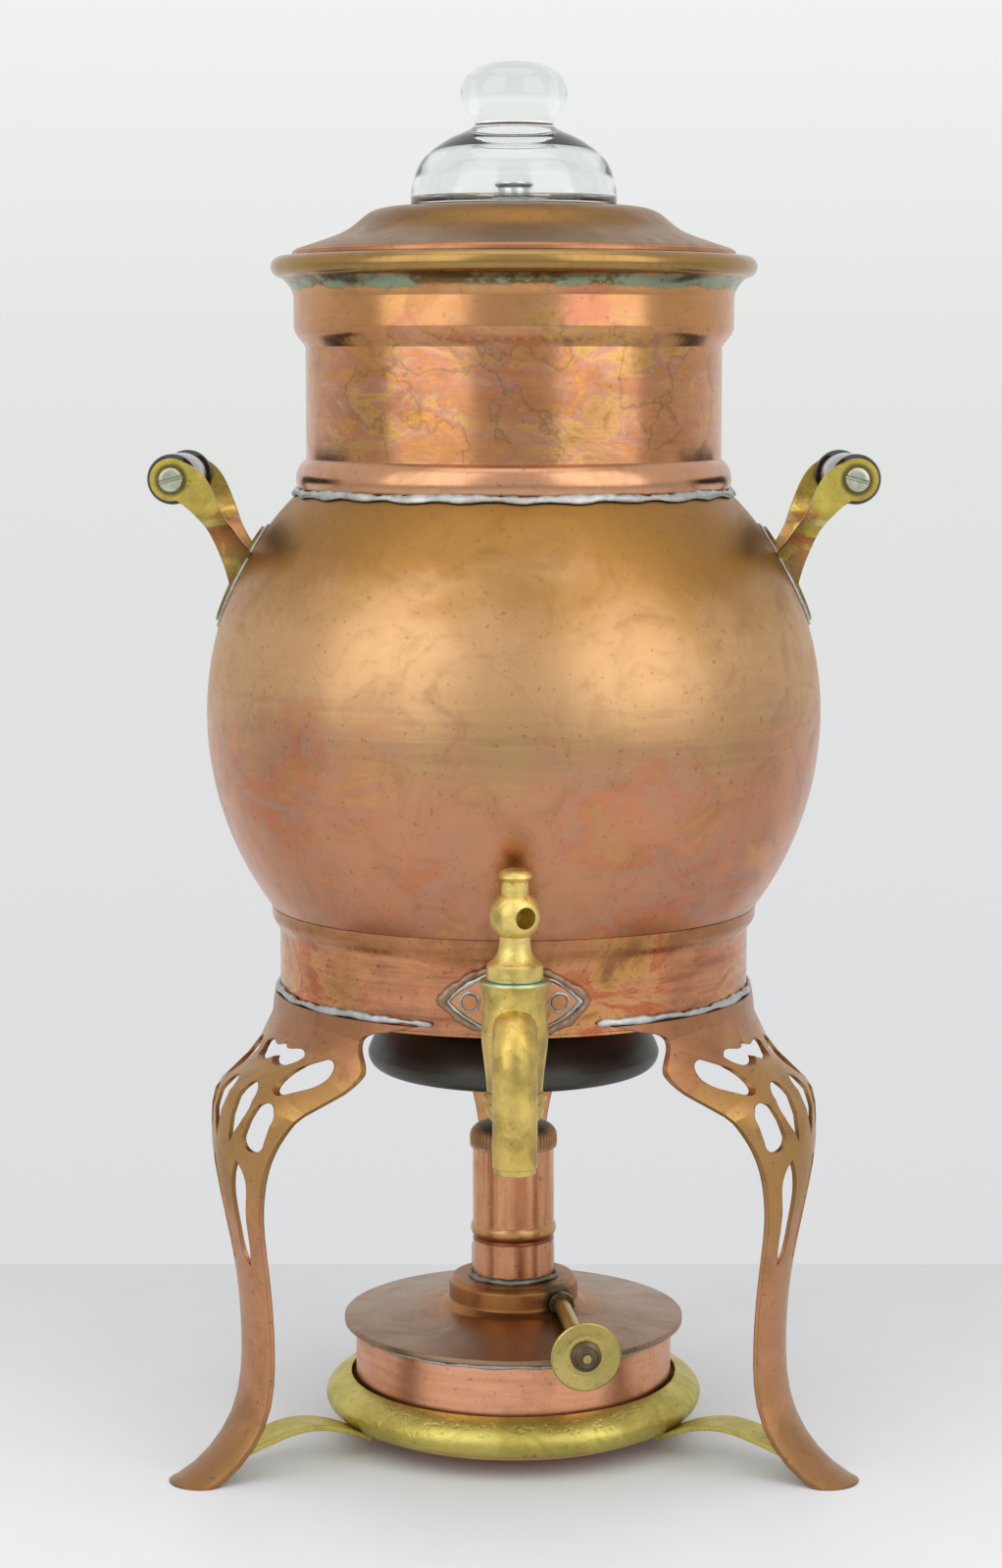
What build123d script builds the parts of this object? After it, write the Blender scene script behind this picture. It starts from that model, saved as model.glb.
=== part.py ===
from build123d import *
import os
from math import asin, atan2, cos, degrees, pi, radians, sin, sqrt

# A copper coffee percolator urn on three pierced legs, with a brass faucet, two handles and an alcohol
# burner in a tray between the legs. Millimetres, Z up, origin on the urn's axis at floor level.
# The faucet is at the front, towards -Y, and the handles are on the X axis.

# Sheet and clearances
SHEET = 0.8
SEAT_GAP = 0.1
FIT_GAP = 0.05
SLIP_GAP = 0.3

# Ball body: a sphere above its widest ring and a slightly larger arc below it
BALL_R = 82.2
BALL_LOWER_R = 86.7
BALL_TOP_R = 57.2
BALL_BOTTOM_Z = 146.4
BALL_SEAM_INSET = 0.127

# Neck collar above the ball
NECK_R = 55.2
NECK_BEAD_R = 57.9
NECK_BEAD_HEIGHT = 8.6
NECK_LENGTH = 38.0
BAND_R = 58.3
BAND_STEP = 5.0
BAND_HEIGHT = 7.8
RIM_R = 64.3
RIM_HEIGHT = 5.6
RIM_RISE = 23.7

# Base skirt, urn floor and boiler well
SKIRT_R = 63.1
SKIRT_LIP_R = 65.3
SKIRT_LIP_HEIGHT = 2.9
SKIRT_CURVE_HEIGHT = 4.4
SKIRT_BOTTOM_Z = 121.8
FLOOR_Z = SKIRT_BOTTOM_Z - SHEET
WELL_NECK_R = 24.8
WELL_FLANGE_R = 30.0
WELL_SHOULDER_Z = 117.0
WELL_R = 39.5
WELL_EDGE_Z = 105.6
WELL_BOTTOM_Z = 101.0
WELL_BOTTOM_R = 35.5

# Lid and glass dome
LID_R = 58.6
LID_RISE = 13.5
LID_THICK = 1.0
LID_HOLE_R = 22.6
LID_SHOULDER_R = 38.0
LID_BRIM_RISE = 1.9
LID_COLLAR_R = 57.0
LID_COLLAR_DEPTH = 13.0
DOME_R = 27.3
DOME_HEIGHT = 19.8
DOME_WALL = 2.2
DOME_NECK_LENGTH = 7.4
KNOB_R = 14.1
KNOB_NECK_R = 10.3
KNOB_HEIGHT = 17.2
LUG_R = 24.6
LUG_HEIGHT = 1.6
LUG_ANGLE = 24
LUG_COUNT = 3
DOME_RING_R = 26.0
DOME_RING_HEIGHT = 3.8

# Percolator pump, basket and spreader
TUBE_R = 4.1
TUBE_BORE_R = 3.3
TUBE_RISE = 6.3
TUBE_FLARE_R = 5.1
BELL_R = 20.0
BELL_WALL = 1.0
BELL_HEIGHT = 8.0
SOCKET_R = 5.3
SOCKET_LENGTH = 10.0
VALVE_CHAMBER = 3.5
VALVE_HOLE_R = 1.7
VALVE_R = 3.6
VALVE_THICK = 0.8
BASKET_R = 48.0
BASKET_RIM_R = 50.0
BASKET_Z = 224.2
BASKET_HEIGHT = 72.0
BASKET_HOLE_R = 1.4
STOP_R = 7.0
STOP_HEIGHT = 2.0
SPREADER_RIM_HEIGHT = 5.0
SPREADER_HOLE_R = 1.0
GUIDE_WALL = 0.8

# Faucet
FAUCET_Y = -85.0
PORT_Z = 129.5
BARREL_TOP_Z = 140.2
BARREL_BOTTOM_Z = 112.4
BARREL_RIM_R = 8.94
BARREL_R = 8.25
BARREL_FOOT_R = 6.9
PLUG_TOP_R = 6.3
PLUG_FOOT_R = 4.9
PORT_R = 3.2
SPOUT_R = 5.5
SPOUT_BORE_R = 3.7
SPOUT_Y = -99.0
SPOUT_BEND_R = 12.0
SPOUT_TIP_Z = 95.0
SHANK_R = 4.6
SHANK_FLANGE_R = 5.8
SHANK_INNER_Y = -51.0
KEY_COLLAR_R = 7.0
KEY_COLLAR_HEIGHT = 4.2
KEY_WAIST_R = 3.8
KEY_BALL_R = 6.3
KEY_BALL_Z = 156.2
KEY_NECK_R = 3.4
KEY_DISC_R = 4.4
KEY_DISC_Z = 164.8
KEY_TOP_Z = 168.0
LEVER_HOLE_R = 2.7
LEVER_HOLE_DEPTH = 8.0
LEVER_ANGLE = 28
STEM_R = 3.0
STEM_BOTTOM_Z = 103.4
TAP_WASHER_R = 7.8
TAP_WASHER_THICK = 3.0
TAP_NUT_R = 7.3
TAP_NUT_HEIGHT = 4.8
LOCKNUT_R = 7.2
LOCKNUT_THICK = 4.5
GASKET_R = 7.4
GASKET_THICK = 2.0

# Escutcheon plate round the faucet's shank
PLATE_HALF_WIDTH = 16.3
PLATE_HALF_HEIGHT = 7.4
PLATE_Z = 130.4
PLATE_THICK = 1.0
PLATE_LIP = 1.2
PLATE_LIP_THICK = 1.6
RIVET_R = 2.0
RIVET_X = 11.3
RIVET_HEAD = 0.9

# Handles
GRIP_X = 88.9
GRIP_RISE = 62.8
GRIP_HALF_LENGTH = 23.8
GRIP_R = 6.6
GRIP_WAIST_R = 5.2
EYE_R = 5.6
ARM_THICK = 2.0
ARM_FOOT_Y = 9.0
ROD_R = 2.0
SCREW_HEAD_R = 3.2
SCREW_HEAD_THICK = 1.6
SCREW_SLOT = 0.9
LEAF_ANGLE = 26.8
LEAF_HALF_LENGTH = 14.0
LEAF_HALF_WIDTH = 11.0
LEAF_THICK = 1.3
LEAF_LIP = 0.9
LEAF_LIP_THICK = 0.9

# Legs
LEG_THICK = 1.1
LEG_TOP_Z = 123.2
LEG_ANGLES = (-150, -30, 90)
LEG_TIP_R = 103.0
LEG_KNEE_R = 87.0
LEG_KNEE_Z = 92.0
LEG_CALF_Z = 72.0
LEG_SHIN_Z = 54.0
LEG_ANKLE_R = 79.9
LEG_ANKLE_Z = 34.0
LEG_INSTEP_Z = 15.0
LEG_TOE_Z = 5.2
LEG_HALF_WIDTH = 8.8
LEG_ARCH_R = 20.0
LEG_ARCH_ANGLE = 0.95
LEG_EASE_END = 0.42
LEG_BAYS = 28
LEG_SOLDER_R = 0.9
LEG_SOLDER_ARC = 82

# Tray and its struts
TRAY_SLACK = 1.3
TRAY_LIP_Z = 16.1
TRAY_BULGE = 6.9
TRAY_BULGE_Z = 10.4
TRAY_BOTTOM_Z = 4.6
TRAY_THICK = 0.9
PAN_REACH = 0.9
STRUT_WIDTH = 10.0
STRUT_THICK = 1.5

# Burner
TANK_R = 43.2
TANK_BOTTOM_Z = 5.6
BURNER_PLATE_REACH = 3.1
BURNER_PLATE_Z = 30.3
BURNER_PLATE_EDGE = 1.4
BURNER_CONE_Z = 35.0
HUB_R = 17.6
HUB_TOP_Z = 42.5
CHIMNEY_R = 11.1
CHIMNEY_TOP_Z = 82.0
CHIMNEY_BEAD_R = 11.7
CHIMNEY_BEAD_Z = 56.0
WICK_R = 8.0
WICK_TOP_Z = 74.0
WICK_BOTTOM_Z = 12.0
WICK_TUBE_WALL = 0.6
WICK_TUBE_TOP_Z = 77.0
WICK_TUBE_BOTTOM_Z = 20.0
CAP_R = 11.9
CAP_LIP_Z = 78.6
CAP_TOP_Z = 86.0
SHAFT_R = 2.15
SHAFT_OFFSET = 10.8
SHAFT_ANGLE = 8.0
SHAFT_TILT = 3.5
SHAFT_Z = 39.0
SHAFT_LENGTH = 54.0
WICK_WHEEL_R = SHAFT_OFFSET - WICK_R - SLIP_GAP
WICK_WHEEL_WIDTH = 3.0
BUSH_R = 3.4
BUSH_SLEEVE_R = 2.7
BUSH_LENGTH = 3.0
KNOB_DISC_R = 9.3
KNOB_DISC_THICK = 1.4
KNOB_DISH = 1.4
KNOB_BOSS = 1.2
KNOB_HUB_R = 3.4
KNOB_STEM_R = 1.2
KNOB_NUT_R = 4.0
KNOB_NUT_THICK = 2.0
FILLER_Y = 30.0
FILLER_NECK_R = 9.4
FILLER_NECK_TOP_Z = 40.6
FILLER_CAP_R = 11.7
FILLER_CAP_BOTTOM_Z = 36.2
FILLER_CAP_TOP_Z = 44.5
FILLER_CAP_WALL = 1.2

NECK_BORE_R = NECK_R - SHEET
BAND_BORE_R = BAND_R - SHEET
SKIRT_BORE_R = SKIRT_R - SHEET
BALL_BOTTOM_R = SKIRT_LIP_R - BALL_SEAM_INSET
BALL_LOWER_REACH = BALL_LOWER_R - BALL_R
BALL_Z = BALL_BOTTOM_Z + sqrt(BALL_LOWER_R**2 - (BALL_BOTTOM_R + BALL_LOWER_REACH) ** 2)
BALL_TOP_Z = BALL_Z + sqrt(BALL_R**2 - BALL_TOP_R**2)
NECK_STEP_Z = BALL_TOP_Z + NECK_LENGTH
RIM_TOP_Z = NECK_STEP_Z + RIM_RISE
LID_BRIM_Z = RIM_TOP_Z + LID_BRIM_RISE
LID_TOP_Z = RIM_TOP_Z + LID_RISE
DOME_FOOT_Z = LID_TOP_Z + 2 * SEAT_GAP
TUBE_TOP_Z = LID_TOP_Z + TUBE_RISE
GRIP_Z = BALL_Z + GRIP_RISE
TRAY_LIP_R = TANK_R + TRAY_SLACK
TRAY_BULGE_R = TRAY_LIP_R + TRAY_BULGE
PAN_R = TRAY_LIP_R + PAN_REACH
BURNER_PLATE_R = TANK_R + BURNER_PLATE_REACH
CHIMNEY_BORE_R = CHIMNEY_R - SHEET
WICK_TUBE_BORE_R = WICK_R + SLIP_GAP
WICK_TUBE_R = WICK_TUBE_BORE_R + WICK_TUBE_WALL
BELL_BOTTOM_Z = WELL_BOTTOM_Z + SHEET + SEAT_GAP
VALVE_SEAT_Z = BELL_BOTTOM_Z + BELL_HEIGHT
TUBE_BOTTOM_Z = VALVE_SEAT_Z + VALVE_CHAMBER


# General helpers

def turned(*lines):
    """A solid turned about Z from an outline of radius and height."""
    edges = [edge for line in lines for edge in line.edges()]
    return revolve(Plane.XZ * make_face(edges), Axis.Z)


def turned_shape(*points):
    """A solid turned about Z from the corners of its outline."""
    return turned(Polyline(*points, close=True))


def ring(inner_r, outer_r, low_z, high_z):
    """A plain ring round Z between two heights."""
    return turned_shape((inner_r, low_z), (outer_r, low_z), (outer_r, high_z), (inner_r, high_z))


def post(radius, low_z, high_z):
    """A plain cylinder on Z between two heights."""
    return Pos(0, 0, low_z) * extrude(Circle(radius), high_z - low_z)


def single(shape):
    """The shape's one solid."""
    return shape.solids().sort_by(lambda s: s.volume)[-1]


def write(name, *shapes):
    """Write one node from one or more separate solids."""
    solids = [solid for shape in shapes for solid in shape.solids()]
    node = solids[0] if len(solids) == 1 else Compound(solids)
    export_step(node, f"parts/{name}.step")


def lens(half_length, half_width):
    """A pointed oval face, with its points along X, from two equal arcs."""
    upper = ThreePointArc((-half_length, 0), (0, half_width), (half_length, 0))
    lower = ThreePointArc((half_length, 0), (0, -half_width), (-half_length, 0))
    return make_face([upper.edge(), lower.edge()])


# Urn body

def ball_radius(z, inset=0.0):
    """Radius of the ball's surface at a height, or of the surface that lies inset from it."""
    if z >= BALL_Z:
        return sqrt((BALL_R - inset) ** 2 - (z - BALL_Z) ** 2)
    return sqrt((BALL_LOWER_R - inset) ** 2 - (z - BALL_Z) ** 2) - BALL_LOWER_REACH


def ball_arc(low_z, high_z, inset):
    """The ball's arc between two heights on one side of its widest ring."""
    middle = (low_z + high_z) / 2
    ends = [(ball_radius(z, inset), z) for z in (low_z, middle, high_z)]
    if high_z == BALL_Z:
        ends[2] = (BALL_R - inset, BALL_Z)
    return ThreePointArc(*ends)


def body_ball():
    """Spun ball, open at the neck and at the base."""
    lines = []
    for inset in (0.0, SHEET):
        lines.append(ball_arc(BALL_Z, BALL_TOP_Z, inset))
        lines.append(ball_arc(BALL_BOTTOM_Z, BALL_Z, inset))
    for z in (BALL_BOTTOM_Z, BALL_TOP_Z):
        lines.append(Line((ball_radius(z, SHEET), z), (ball_radius(z), z)))
    return turned(*lines)


def neck_collar():
    """Turned neck: bead on the seam, straight neck, wider band, rolled rim with a flat seat for the lid."""
    bead_top = BALL_TOP_Z + NECK_BEAD_HEIGHT
    bead_mid = BALL_TOP_Z + NECK_BEAD_HEIGHT / 2
    band_low = NECK_STEP_Z + BAND_STEP
    band_high = band_low + BAND_HEIGHT
    rim_low = RIM_TOP_Z - RIM_HEIGHT
    rim_mid = RIM_TOP_Z - RIM_HEIGHT / 2
    rim_flat_r = RIM_R - RIM_HEIGHT / 2
    outer = [
        ThreePointArc((BALL_TOP_R - SEAT_GAP, BALL_TOP_Z), (NECK_BEAD_R, bead_mid), (NECK_R, bead_top)),
        Line((NECK_R, bead_top), (NECK_R, NECK_STEP_Z)),
        Spline((NECK_R, NECK_STEP_Z), (BAND_R, band_low), tangents=[(0.6, 1), (0.2, 1)]),
        Line((BAND_R, band_low), (BAND_R, band_high)),
        Spline((BAND_R, band_high), (rim_flat_r, rim_low), tangents=[(0.1, 1), (1, 0.9)]),
        ThreePointArc((rim_flat_r, rim_low), (RIM_R, rim_mid), (rim_flat_r, RIM_TOP_Z)),
    ]
    inner = Polyline(
        (rim_flat_r, RIM_TOP_Z),
        (BAND_BORE_R, RIM_TOP_Z),
        (BAND_BORE_R, band_low),
        (NECK_BORE_R, NECK_STEP_Z + SHEET),
        (NECK_BORE_R, BALL_TOP_Z),
        (BALL_TOP_R - SEAT_GAP, BALL_TOP_Z),
    )
    return turned(*outer, inner)


def neck_solder():
    """Fillet of solder in the seam between the ball and the neck's bead."""
    drop = 1.2
    low = BALL_TOP_Z - drop
    inner = BALL_TOP_R + FIT_GAP
    return turned_shape(
        (inner + 0.35, BALL_TOP_Z + drop),
        (inner, BALL_TOP_Z + FIT_GAP),
        (ball_radius(low) + FIT_GAP, low + FIT_GAP),
        (ball_radius(low) + 0.5, low + drop / 2),
        (inner + 1.2, BALL_TOP_Z + drop / 2),
    )


def base_skirt():
    """Base skirt: lip under the ball, a curve inwards, then a straight wall drilled for the faucet."""
    lip_low = BALL_BOTTOM_Z - SKIRT_LIP_HEIGHT
    wall_top = lip_low - SKIRT_CURVE_HEIGHT
    lip_r = SKIRT_LIP_R
    blank = turned(
        Line((SKIRT_BORE_R, BALL_BOTTOM_Z), (lip_r, BALL_BOTTOM_Z)),
        Line((lip_r, BALL_BOTTOM_Z), (lip_r - 0.2, lip_low)),
        Spline((lip_r - 0.2, lip_low), (SKIRT_R, wall_top), tangents=[(-0.25, -1), (0, -1)]),
        Line((SKIRT_R, wall_top), (SKIRT_R, SKIRT_BOTTOM_Z)),
        Line((SKIRT_R, SKIRT_BOTTOM_Z), (SKIRT_BORE_R, SKIRT_BOTTOM_Z)),
        Line((SKIRT_BORE_R, SKIRT_BOTTOM_Z), (SKIRT_BORE_R, BALL_BOTTOM_Z)),
    )
    shank_hole = along_shank(SHANK_R + FIT_GAP, SHANK_INNER_Y, FAUCET_Y)
    rivet_holes = rivet_pair(RIVET_R / 2 + FIT_GAP, 0, FAUCET_Y)
    return single(blank - shank_hole - rivet_holes)


def urn_floor():
    """Flat floor seamed under the skirt's edge and open over the boiler well."""
    return ring(WELL_NECK_R - SHEET, SKIRT_R, FLOOR_Z, FLOOR_Z + SHEET)


def well_outline(inset):
    """Half outline of the boiler well, from its neck down to the axis, at a depth below the surface."""
    neck = WELL_NECK_R - inset
    edge = WELL_R - inset
    shoulder = WELL_SHOULDER_Z - inset
    bottom = WELL_BOTTOM_Z + inset
    shoulder_mid = ((neck + 2 * edge) / 3, (2 * shoulder + WELL_EDGE_Z) / 3)
    low_mid = ((edge * 3 + WELL_BOTTOM_R) / 4, (WELL_EDGE_Z + 2 * bottom) / 3)
    return [
        Line((neck, FLOOR_Z), (neck, shoulder)),
        ThreePointArc((neck, shoulder), shoulder_mid, (edge, WELL_EDGE_Z)),
        ThreePointArc((edge, WELL_EDGE_Z), low_mid, (WELL_BOTTOM_R - inset, bottom)),
        Line((WELL_BOTTOM_R - inset, bottom), (0, bottom)),
    ]


def boiler_well():
    """Saucer-shaped well under the floor, where a small amount of water boils first."""
    outer_closing = Polyline((0, WELL_BOTTOM_Z), (0, FLOOR_Z), (WELL_NECK_R, FLOOR_Z))
    inner_closing = Polyline((0, WELL_BOTTOM_Z + SHEET), (0, FLOOR_Z), (WELL_NECK_R - SHEET, FLOOR_Z))
    outer = turned(*well_outline(0.0), outer_closing)
    flange = ring(WELL_NECK_R - SHEET / 2, WELL_FLANGE_R, FLOOR_Z - SHEET, FLOOR_Z)
    return single(outer + flange - turned(*well_outline(SHEET), inner_closing))


# Lid and dome

def lid_line(drop):
    """The lid's upper line, or the line that lies below it by drop."""
    points = [
        (LID_HOLE_R, LID_TOP_Z),
        ((LID_HOLE_R + LID_SHOULDER_R) / 2, LID_TOP_Z - 0.5),
        (LID_SHOULDER_R, LID_TOP_Z - 2.0),
        (LID_SHOULDER_R + 5.0, LID_BRIM_Z + 5.7),
        (LID_SHOULDER_R + 11.5, LID_BRIM_Z + 2.7),
        (LID_R - 1.0, LID_BRIM_Z),
    ]
    return Spline(*[(r, z - drop) for r, z in points])


def lid_shell():
    """Pressed lid with a low crown, a hollow slope and a flat brim."""
    seat = RIM_TOP_Z + 2 * SEAT_GAP
    upper = lid_line(0.0)
    lower = lid_line(LID_THICK)
    brim = Polyline(
        (LID_R - 1.0, LID_BRIM_Z),
        (LID_R, LID_BRIM_Z - 0.7),
        (LID_R, seat),
        (LID_COLLAR_R + 0.2, seat),
        (LID_R - 1.0, LID_BRIM_Z - LID_THICK),
    )
    hole = Line((LID_HOLE_R, LID_TOP_Z - LID_THICK), (LID_HOLE_R, LID_TOP_Z))
    return turned(upper, brim, lower, hole)


def lid_collar():
    """Locating collar soldered under the lid's brim."""
    top = LID_BRIM_Z - LID_THICK
    return ring(LID_COLLAR_R - SHEET, LID_COLLAR_R, top - LID_COLLAR_DEPTH, top)


def dome_ring():
    """Ring under the lid's hole, which the dome's lugs lock against."""
    top = LID_TOP_Z - LID_THICK - SEAT_GAP
    low = top - DOME_RING_HEIGHT
    return turned_shape(
        (LID_HOLE_R, low),
        (DOME_RING_R, low),
        (DOME_RING_R, top - 0.6),
        (DOME_RING_R - 0.6, top - 0.2),
        (LID_HOLE_R, top),
    )


def dome_line():
    """The glass's outer line: a bell from the lid up to the knob's neck, then the knob."""
    z = DOME_FOOT_Z
    bell = [(1.0, 0.0), (0.99, 0.1), (0.945, 0.24), (0.88, 0.4), (0.8, 0.555), (0.67, 0.71), (0.505, 0.87)]
    points = [(DOME_R * across, z + DOME_HEIGHT * up) for across, up in bell]
    points.append((KNOB_NECK_R, z + DOME_HEIGHT))
    z += DOME_HEIGHT
    knob_low = [(0.755, 0.12), (0.85, 0.21), (0.945, 0.36), (1.0, 0.53)]
    knob_high = [(0.955, 0.68), (0.86, 0.81), (0.45, 0.955)]
    points += [(KNOB_R * across, z + KNOB_HEIGHT * up) for across, up in knob_low + knob_high]
    points.append((0, z + KNOB_HEIGHT))
    return Spline(*points, tangents=[(-0.02, 1), (-1, 0)])


def dome_hollow():
    """The hollow inside the glass, one wall below its outer line, with a low ceiling under the knob."""
    low = DOME_FOOT_Z - DOME_NECK_LENGTH
    inner_r = LID_HOLE_R - SLIP_GAP - DOME_WALL
    r = DOME_R - DOME_WALL
    height = DOME_HEIGHT - DOME_WALL
    ceiling = DOME_FOOT_Z + height - 0.7
    bell = [(0.92, 0.15), (0.95, 0.24), (0.88, 0.4), (0.8, 0.55), (0.67, 0.71), (0.5, 0.87), (0.3, 0.945)]
    curve = [(r * across, DOME_FOOT_Z + height * up) for across, up in bell]
    lines = [
        Polyline((0, ceiling), (0, low), (inner_r, low), (inner_r, DOME_FOOT_Z)),
        Spline((inner_r, DOME_FOOT_Z), *curve, (0, ceiling)),
    ]
    return turned(*lines)


def glass_dome():
    """Clear dome with a solid knob, a short neck through the lid and three bayonet lugs."""
    neck_r = LID_HOLE_R - SLIP_GAP
    neck_low = DOME_FOOT_Z - DOME_NECK_LENGTH
    outer = dome_line()
    closing = Polyline(outer @ 1, (0, neck_low), (neck_r, neck_low), (neck_r, DOME_FOOT_Z), outer @ 0)
    body = turned(outer, closing) - dome_hollow()
    lug_blank = ring(neck_r - 0.5, LUG_R, neck_low, neck_low + LUG_HEIGHT)
    wedge_reach = 2 * LUG_R
    wedge_half_width = wedge_reach * sin(radians(LUG_ANGLE / 2))
    wedge_points = [(0, 0), (wedge_reach, wedge_half_width), (wedge_reach, -wedge_half_width)]
    wedge_face = make_face(Polyline(*wedge_points, close=True).edges())
    wedge = Pos(0, 0, neck_low) * extrude(wedge_face, LUG_HEIGHT)
    for index in range(LUG_COUNT):
        body += lug_blank & (Rot(0, 0, index * 360 / LUG_COUNT) * wedge)
    return single(body)


# Pump, basket and spreader

def pump_bell():
    """Bell that stands in the boiler well, with the valve's seat and a socket for the tube."""
    low = BELL_BOTTOM_Z
    seat_low = VALVE_SEAT_Z - BELL_WALL
    socket_top = TUBE_BOTTOM_Z + SOCKET_LENGTH
    chamber_r = TUBE_R + FIT_GAP
    return turned_shape(
        (BELL_R - BELL_WALL, low),
        (BELL_R, low),
        (BELL_R, low + 1.6),
        (SOCKET_R + 3.0, VALVE_SEAT_Z + 0.6),
        (SOCKET_R, VALVE_SEAT_Z + 2.8),
        (SOCKET_R, socket_top),
        (chamber_r, socket_top),
        (chamber_r, VALVE_SEAT_Z),
        (VALVE_HOLE_R, VALVE_SEAT_Z),
        (VALVE_HOLE_R, seat_low),
        (SOCKET_R + 2.0, seat_low),
        (BELL_R - BELL_WALL, low + 1.6),
    )


def pump_tube():
    """Pump tube with the basket's stop ring and a flared top."""
    stop_top = BASKET_Z - SEAT_GAP
    stop_low = stop_top - STOP_HEIGHT
    flare_low = TUBE_TOP_Z - 5.5
    wall = TUBE_R - TUBE_BORE_R
    return turned_shape(
        (TUBE_BORE_R, TUBE_BOTTOM_Z),
        (TUBE_R, TUBE_BOTTOM_Z),
        (TUBE_R, stop_low - 1.0),
        (STOP_R, stop_low),
        (STOP_R, stop_top),
        (TUBE_R, stop_top),
        (TUBE_R, flare_low),
        (TUBE_FLARE_R, TUBE_TOP_Z),
        (TUBE_FLARE_R - wall, TUBE_TOP_Z),
        (TUBE_BORE_R, flare_low),
    )


def valve_disc():
    """Loose disc on the valve's seat."""
    return post(VALVE_R, VALVE_SEAT_Z + FIT_GAP, VALVE_SEAT_Z + FIT_GAP + VALVE_THICK)


def hole_rings(rings, radius, low_z, high_z):
    """Drills for rings of holes, each given as a ring's radius and its number of holes."""
    drill = extrude(Circle(radius), high_z - low_z)
    drills = []
    for ring_r, count in rings:
        for place in PolarLocations(ring_r, count):
            drills.append(Pos(0, 0, low_z) * (place * drill))
    return drills


def coffee_basket():
    """Drilled basket with a rolled rim and a centre sleeve that slides over the tube's flare."""
    floor_top = BASKET_Z + SHEET
    top = BASKET_Z + BASKET_HEIGHT
    sleeve_bore = TUBE_FLARE_R + SLIP_GAP
    sleeve_r = sleeve_bore + GUIDE_WALL
    rim_low = top - 2.4
    blank = turned_shape(
        (sleeve_bore, BASKET_Z),
        (BASKET_R, BASKET_Z),
        (BASKET_R, rim_low),
        (BASKET_RIM_R, rim_low + 0.8),
        (BASKET_RIM_R, top),
        (BASKET_R - SHEET, top),
        (BASKET_R - SHEET, floor_top),
        (sleeve_r, floor_top),
        (sleeve_r, top),
        (sleeve_bore, top),
    )
    rings = ((15.0, 10), (27.0, 16), (39.0, 22))
    return single(blank - hole_rings(rings, BASKET_HOLE_R, BASKET_Z - 1, floor_top + 1))


def basket_spreader():
    """Drilled plate on top of the basket, with a raised edge and a centre guide."""
    low = BASKET_Z + BASKET_HEIGHT + SEAT_GAP
    plate_top = low + SHEET
    edge_top = plate_top + SPREADER_RIM_HEIGHT
    edge_r = BASKET_RIM_R - 0.5
    bore = TUBE_FLARE_R + SLIP_GAP
    blank = turned_shape(
        (bore, low),
        (edge_r, low),
        (edge_r, edge_top),
        (edge_r - SHEET, edge_top),
        (edge_r - SHEET, plate_top),
        (bore + GUIDE_WALL, plate_top),
        (bore + GUIDE_WALL, edge_top - 1.0),
        (bore, edge_top - 1.0),
    )
    rings = ((14.0, 12), (24.0, 18), (34.0, 26), (43.0, 32))
    return single(blank - hole_rings(rings, SPREADER_HOLE_R, low - 1, plate_top + 1))


# Faucet

def spout_path():
    """Centre line of the spout: forward out of the barrel, round a quarter bend and down."""
    bend_y = SPOUT_Y + SPOUT_BEND_R
    bend_z = PORT_Z - SPOUT_BEND_R
    turn = SPOUT_BEND_R * sqrt(0.5)
    return [
        Line((0, FAUCET_Y, PORT_Z), (0, bend_y, PORT_Z)),
        ThreePointArc((0, bend_y, PORT_Z), (0, bend_y - turn, bend_z + turn), (0, SPOUT_Y, bend_z)),
        Line((0, SPOUT_Y, bend_z), (0, SPOUT_Y, SPOUT_TIP_Z)),
    ]


def spout_tube(radius):
    """Round bar along the spout's centre line."""
    section = Plane(origin=(0, FAUCET_Y, PORT_Z), x_dir=(1, 0, 0), z_dir=(0, -1, 0)) * Circle(radius)
    return sweep(section, path=Wire([line.edge() for line in spout_path()]))


def barrel():
    """Turned barrel of the faucet, still solid, on its own axis."""
    height = BARREL_TOP_Z - BARREL_BOTTOM_Z
    return turned(
        Polyline((0, BARREL_BOTTOM_Z), (0, BARREL_TOP_Z), (BARREL_RIM_R - 0.4, BARREL_TOP_Z)),
        Line((BARREL_RIM_R - 0.4, BARREL_TOP_Z), (BARREL_RIM_R, BARREL_TOP_Z - 0.6)),
        Spline(
            (BARREL_RIM_R, BARREL_TOP_Z - 0.6),
            (BARREL_R - 0.5, BARREL_TOP_Z - 0.18 * height),
            (BARREL_R, BARREL_TOP_Z - 0.4 * height),
            (BARREL_FOOT_R + 0.5, BARREL_BOTTOM_Z + 0.2 * height),
            (BARREL_FOOT_R, BARREL_BOTTOM_Z),
        ),
        Line((BARREL_FOOT_R, BARREL_BOTTOM_Z), (0, BARREL_BOTTOM_Z)),
    )


def plug_cone(gap):
    """The plug's cone, smaller than the barrel's bore by gap."""
    return turned_shape(
        (0, BARREL_BOTTOM_Z),
        (PLUG_FOOT_R - gap, BARREL_BOTTOM_Z),
        (PLUG_TOP_R - gap, BARREL_TOP_Z),
        (0, BARREL_TOP_Z),
    )


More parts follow.
